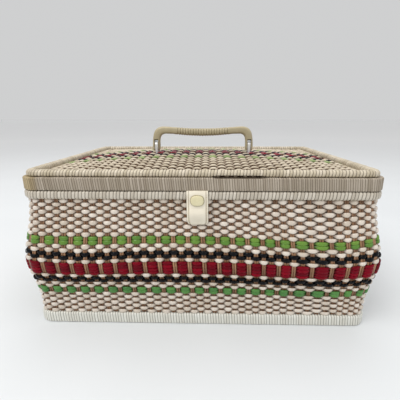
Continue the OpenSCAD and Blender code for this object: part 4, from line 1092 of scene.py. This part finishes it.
# ------------------------------------------------------------------ rolled lips of the trays
TRX, TRY, TRZ, TRH = 168.6, 115.5, 103.0, 36.0
def tray_lip(name, cx, body):
    hx, hy, r = (TRX - 0.5) / 2, TRY, 6.0
    per = 4 * (hx + hy) - 8 * r + 2 * math.pi * r
    n = 520
    s_ = np.arange(n) * per / n
    th = np.arange(10) / 10 * 2 * math.pi
    x0, y0, nx0, ny0 = outline(s_, hx - 0.9, hy - 0.9, r - 0.9, hx, hy, r)
    dip = np.where(np.abs(ny0) > 0.9, 144 - np.sqrt(np.maximum(0, 14.0 ** 2 - x0 ** 2)), 200)
    zt = np.minimum(139.0, np.where(np.abs(x0) < 13.99, dip, 200))
    # the lip turns smoothly into the finger notch
    kern = np.exp(-np.linspace(-2, 2, 9) ** 2); kern /= kern.sum()
    zt = np.convolve(np.concatenate([zt[-4:], zt, zt[:4]]), kern, mode="valid")
    P = np.stack([x0, y0, zt - 0.75], -1)
    tan = np.roll(P, -1, 0) - np.roll(P, 1, 0); tan /= np.linalg.norm(tan, axis=1)[:, None]
    side = np.stack([nx0, ny0, 0 * nx0], -1)
    upv = np.cross(tan, side); upv /= np.linalg.norm(upv, axis=1)[:, None]
    V = P[:, None, :] + side[:, None, :] * (1.28 * np.cos(th))[None, :, None] + upv[:, None, :] * (0.98 * np.sin(th))[None, :, None]
    V[..., 0] += cx
    o = recalc(mesh_object(name, V.reshape(-1, 3), grid_faces(n, 10, loop_n=True), M["tray"]))
    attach(o, body)
tray_lip("left_tray_lip", -(TRX + 0.5) / 2, "tray_left")
tray_lip("right_tray_lip", (TRX + 0.5) / 2, "tray_right")
# domed tops on the four reel pegs
pg = Bag()
for i in range(4):
    pg.add(lathe([(0, -3.0), (1.9, -3.0), (2.25, -1.2), (2.35, -0.3), (2.2, 0.5), (1.6, 1.15), (0.8, 1.45), (0, 1.55)], (-TRX + 24 + 40 * i, -TRY + 1.8 + 35, TRZ + 1.7 + 22), (0, 0, 1), 24))
pg = pg.make("reel_peg_tops", M["tray"], attrs=False)
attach(pg, "tray_left")

# cane cores inside the windings
def core_ring(name, hx, hy, r, n0, n1, z0, z1, cad, body):
    P, N = rounded_profile(n0, n1, z0, z1, (1.0, 1.0), (0.8, 0.8), m_=2)
    per = 2 * (2 * hx + 2 * hy) - 8 * r + 2 * math.pi * r
    s_ = np.concatenate([np.arange(0, per, per / 120)])
    x, y, nx, ny = outline(s_[:, None] + 0 * P[:, 0][None, :], hx + P[:, 0][None, :], hy + P[:, 0][None, :], np.maximum(r + P[:, 0][None, :], 0.6), hx, hy, r)
    V = np.stack([x, y, P[:, 1][None, :] + 0 * x], -1).reshape(-1, 3)
    o = recalc(mesh_object(name, V, grid_faces(len(s_), len(P), loop_n=True), M["cane"]))
    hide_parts(cad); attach(o, body)

# ------------------------------------------------------------------ floor and light
sc = bpy.context.scene
sc.view_settings.view_transform = "Standard"
sc.view_settings.look = "None"
def area(name, loc, target, size, energy, color=(1, 1, 1)):
    d = bpy.data.lights.new(name, "AREA"); d.shape = "RECTANGLE"; d.size, d.size_y = size; d.energy = energy; d.color = color
    o = bpy.data.objects.new(name, d); bpy.context.scene.collection.objects.link(o)
    o.location = loc
    o.rotation_euler = (Vector(target) - Vector(loc)).to_track_quat("-Z", "Y").to_euler()
    return o
area("key", (-0.8, -0.75, 1.5), (0, 0, 0.1), (1.1, 0.9), 15.5, (1.0, 0.985, 0.96))
area("fill", (1.2, -0.8, 0.9), (0, 0, 0.1), (1.2, 1.2), 3.6, (0.95, 0.97, 1.0))
area("top", (0.1, 0.3, 1.6), (0, 0, 0.1), (1.4, 1.4), 9, (1.0, 0.99, 0.97))
w = bpy.context.scene.world or bpy.data.worlds.new("world")
bpy.context.scene.world = w
w.use_nodes = True
w.node_tree.nodes["Background"].inputs[0].default_value = (0.82, 0.825, 0.83, 1)
w.node_tree.nodes["Background"].inputs[1].default_value = 0.76

fm, nt, b = new_mat("floor_paper")
tc = node(nt, "ShaderNodeTexCoord").outputs["Object"]
ln_ = node(nt, "ShaderNodeVectorMath", operation="LENGTH"); nt.links.new(tc, ln_.inputs[0])
far = ramp(nt, maths(nt, "MULTIPLY", ln_.outputs["Value"], 0.2), [(0.1, 0.0), (0.6, 1.0)])
near_col = mix(nt, noise(nt, 6, 2), (0.715, 0.735, 0.75, 1), (0.765, 0.785, 0.8, 1))
nt.links.new(mix(nt, far, near_col, (0.985, 0.985, 0.985, 1)), b.inputs["Base Color"])
b.inputs["Roughness"].default_value = 0.7
b.inputs["Specular IOR Level"].default_value = 0.25
fl = mesh_object("floor", [(-20000, -20000, 0), (20000, -20000, 0), (20000, 20000, 0), (-20000, 20000, 0)], [(0, 1, 2, 3)], fm)

# ------------------------------------------------------------------ simple finishes for carried-over nodes
by_slot = {"board": "board", "cane": "cane", "satin": "satin", "ledge_wood": "ledge", "hinge_brass": "brass", "pin_steel": "steel", "snap_steel": "steel",
           "card": "card", "bright_metal": "bright", "strap_vinyl": "strap", "grip_plastic": "grip", "cap_plastic": "cap", "tray_plastic": "tray"}
core_ring("foot_core", HW + 0.5, HD + 0.5, CR, -7.9, -1.4, 1.4, FOOT_H - 1.2, "foot_hoop", "basket")
core_ring("rim_core", HW, HD, CR, -6.9, -1.4, RIM_Z + 1.4, SEAM - 1.5, "rim_hoop", "basket")
core_ring("band_core", HW, HD, CR, -5.3, -1.3, SEAM + 2.6, BAND_TOP - 1.5, "lid_frame", "lid")
core_ring("border_core", HW - 3.5, HD - 3.5, CR - 3, -7.6, -1.6, BAND_TOP + 1.5, LID_TOP - 1.9, "border_hoop", "lid")
for sp in frame["record"]["subparts"]:
    o = frame["nodes"][sp["node"]]
    if not o.hide_render and sp["material_slot"] in by_slot:
        o.data.materials.clear(); o.data.materials.append(M[by_slot[sp["material_slot"]]])
        add_mod(o, "BEVEL", "soft_edges", width=0.0005, segments=2, limit_method="ANGLE", angle_limit=math.radians(35), use_clamp_overlap=True)
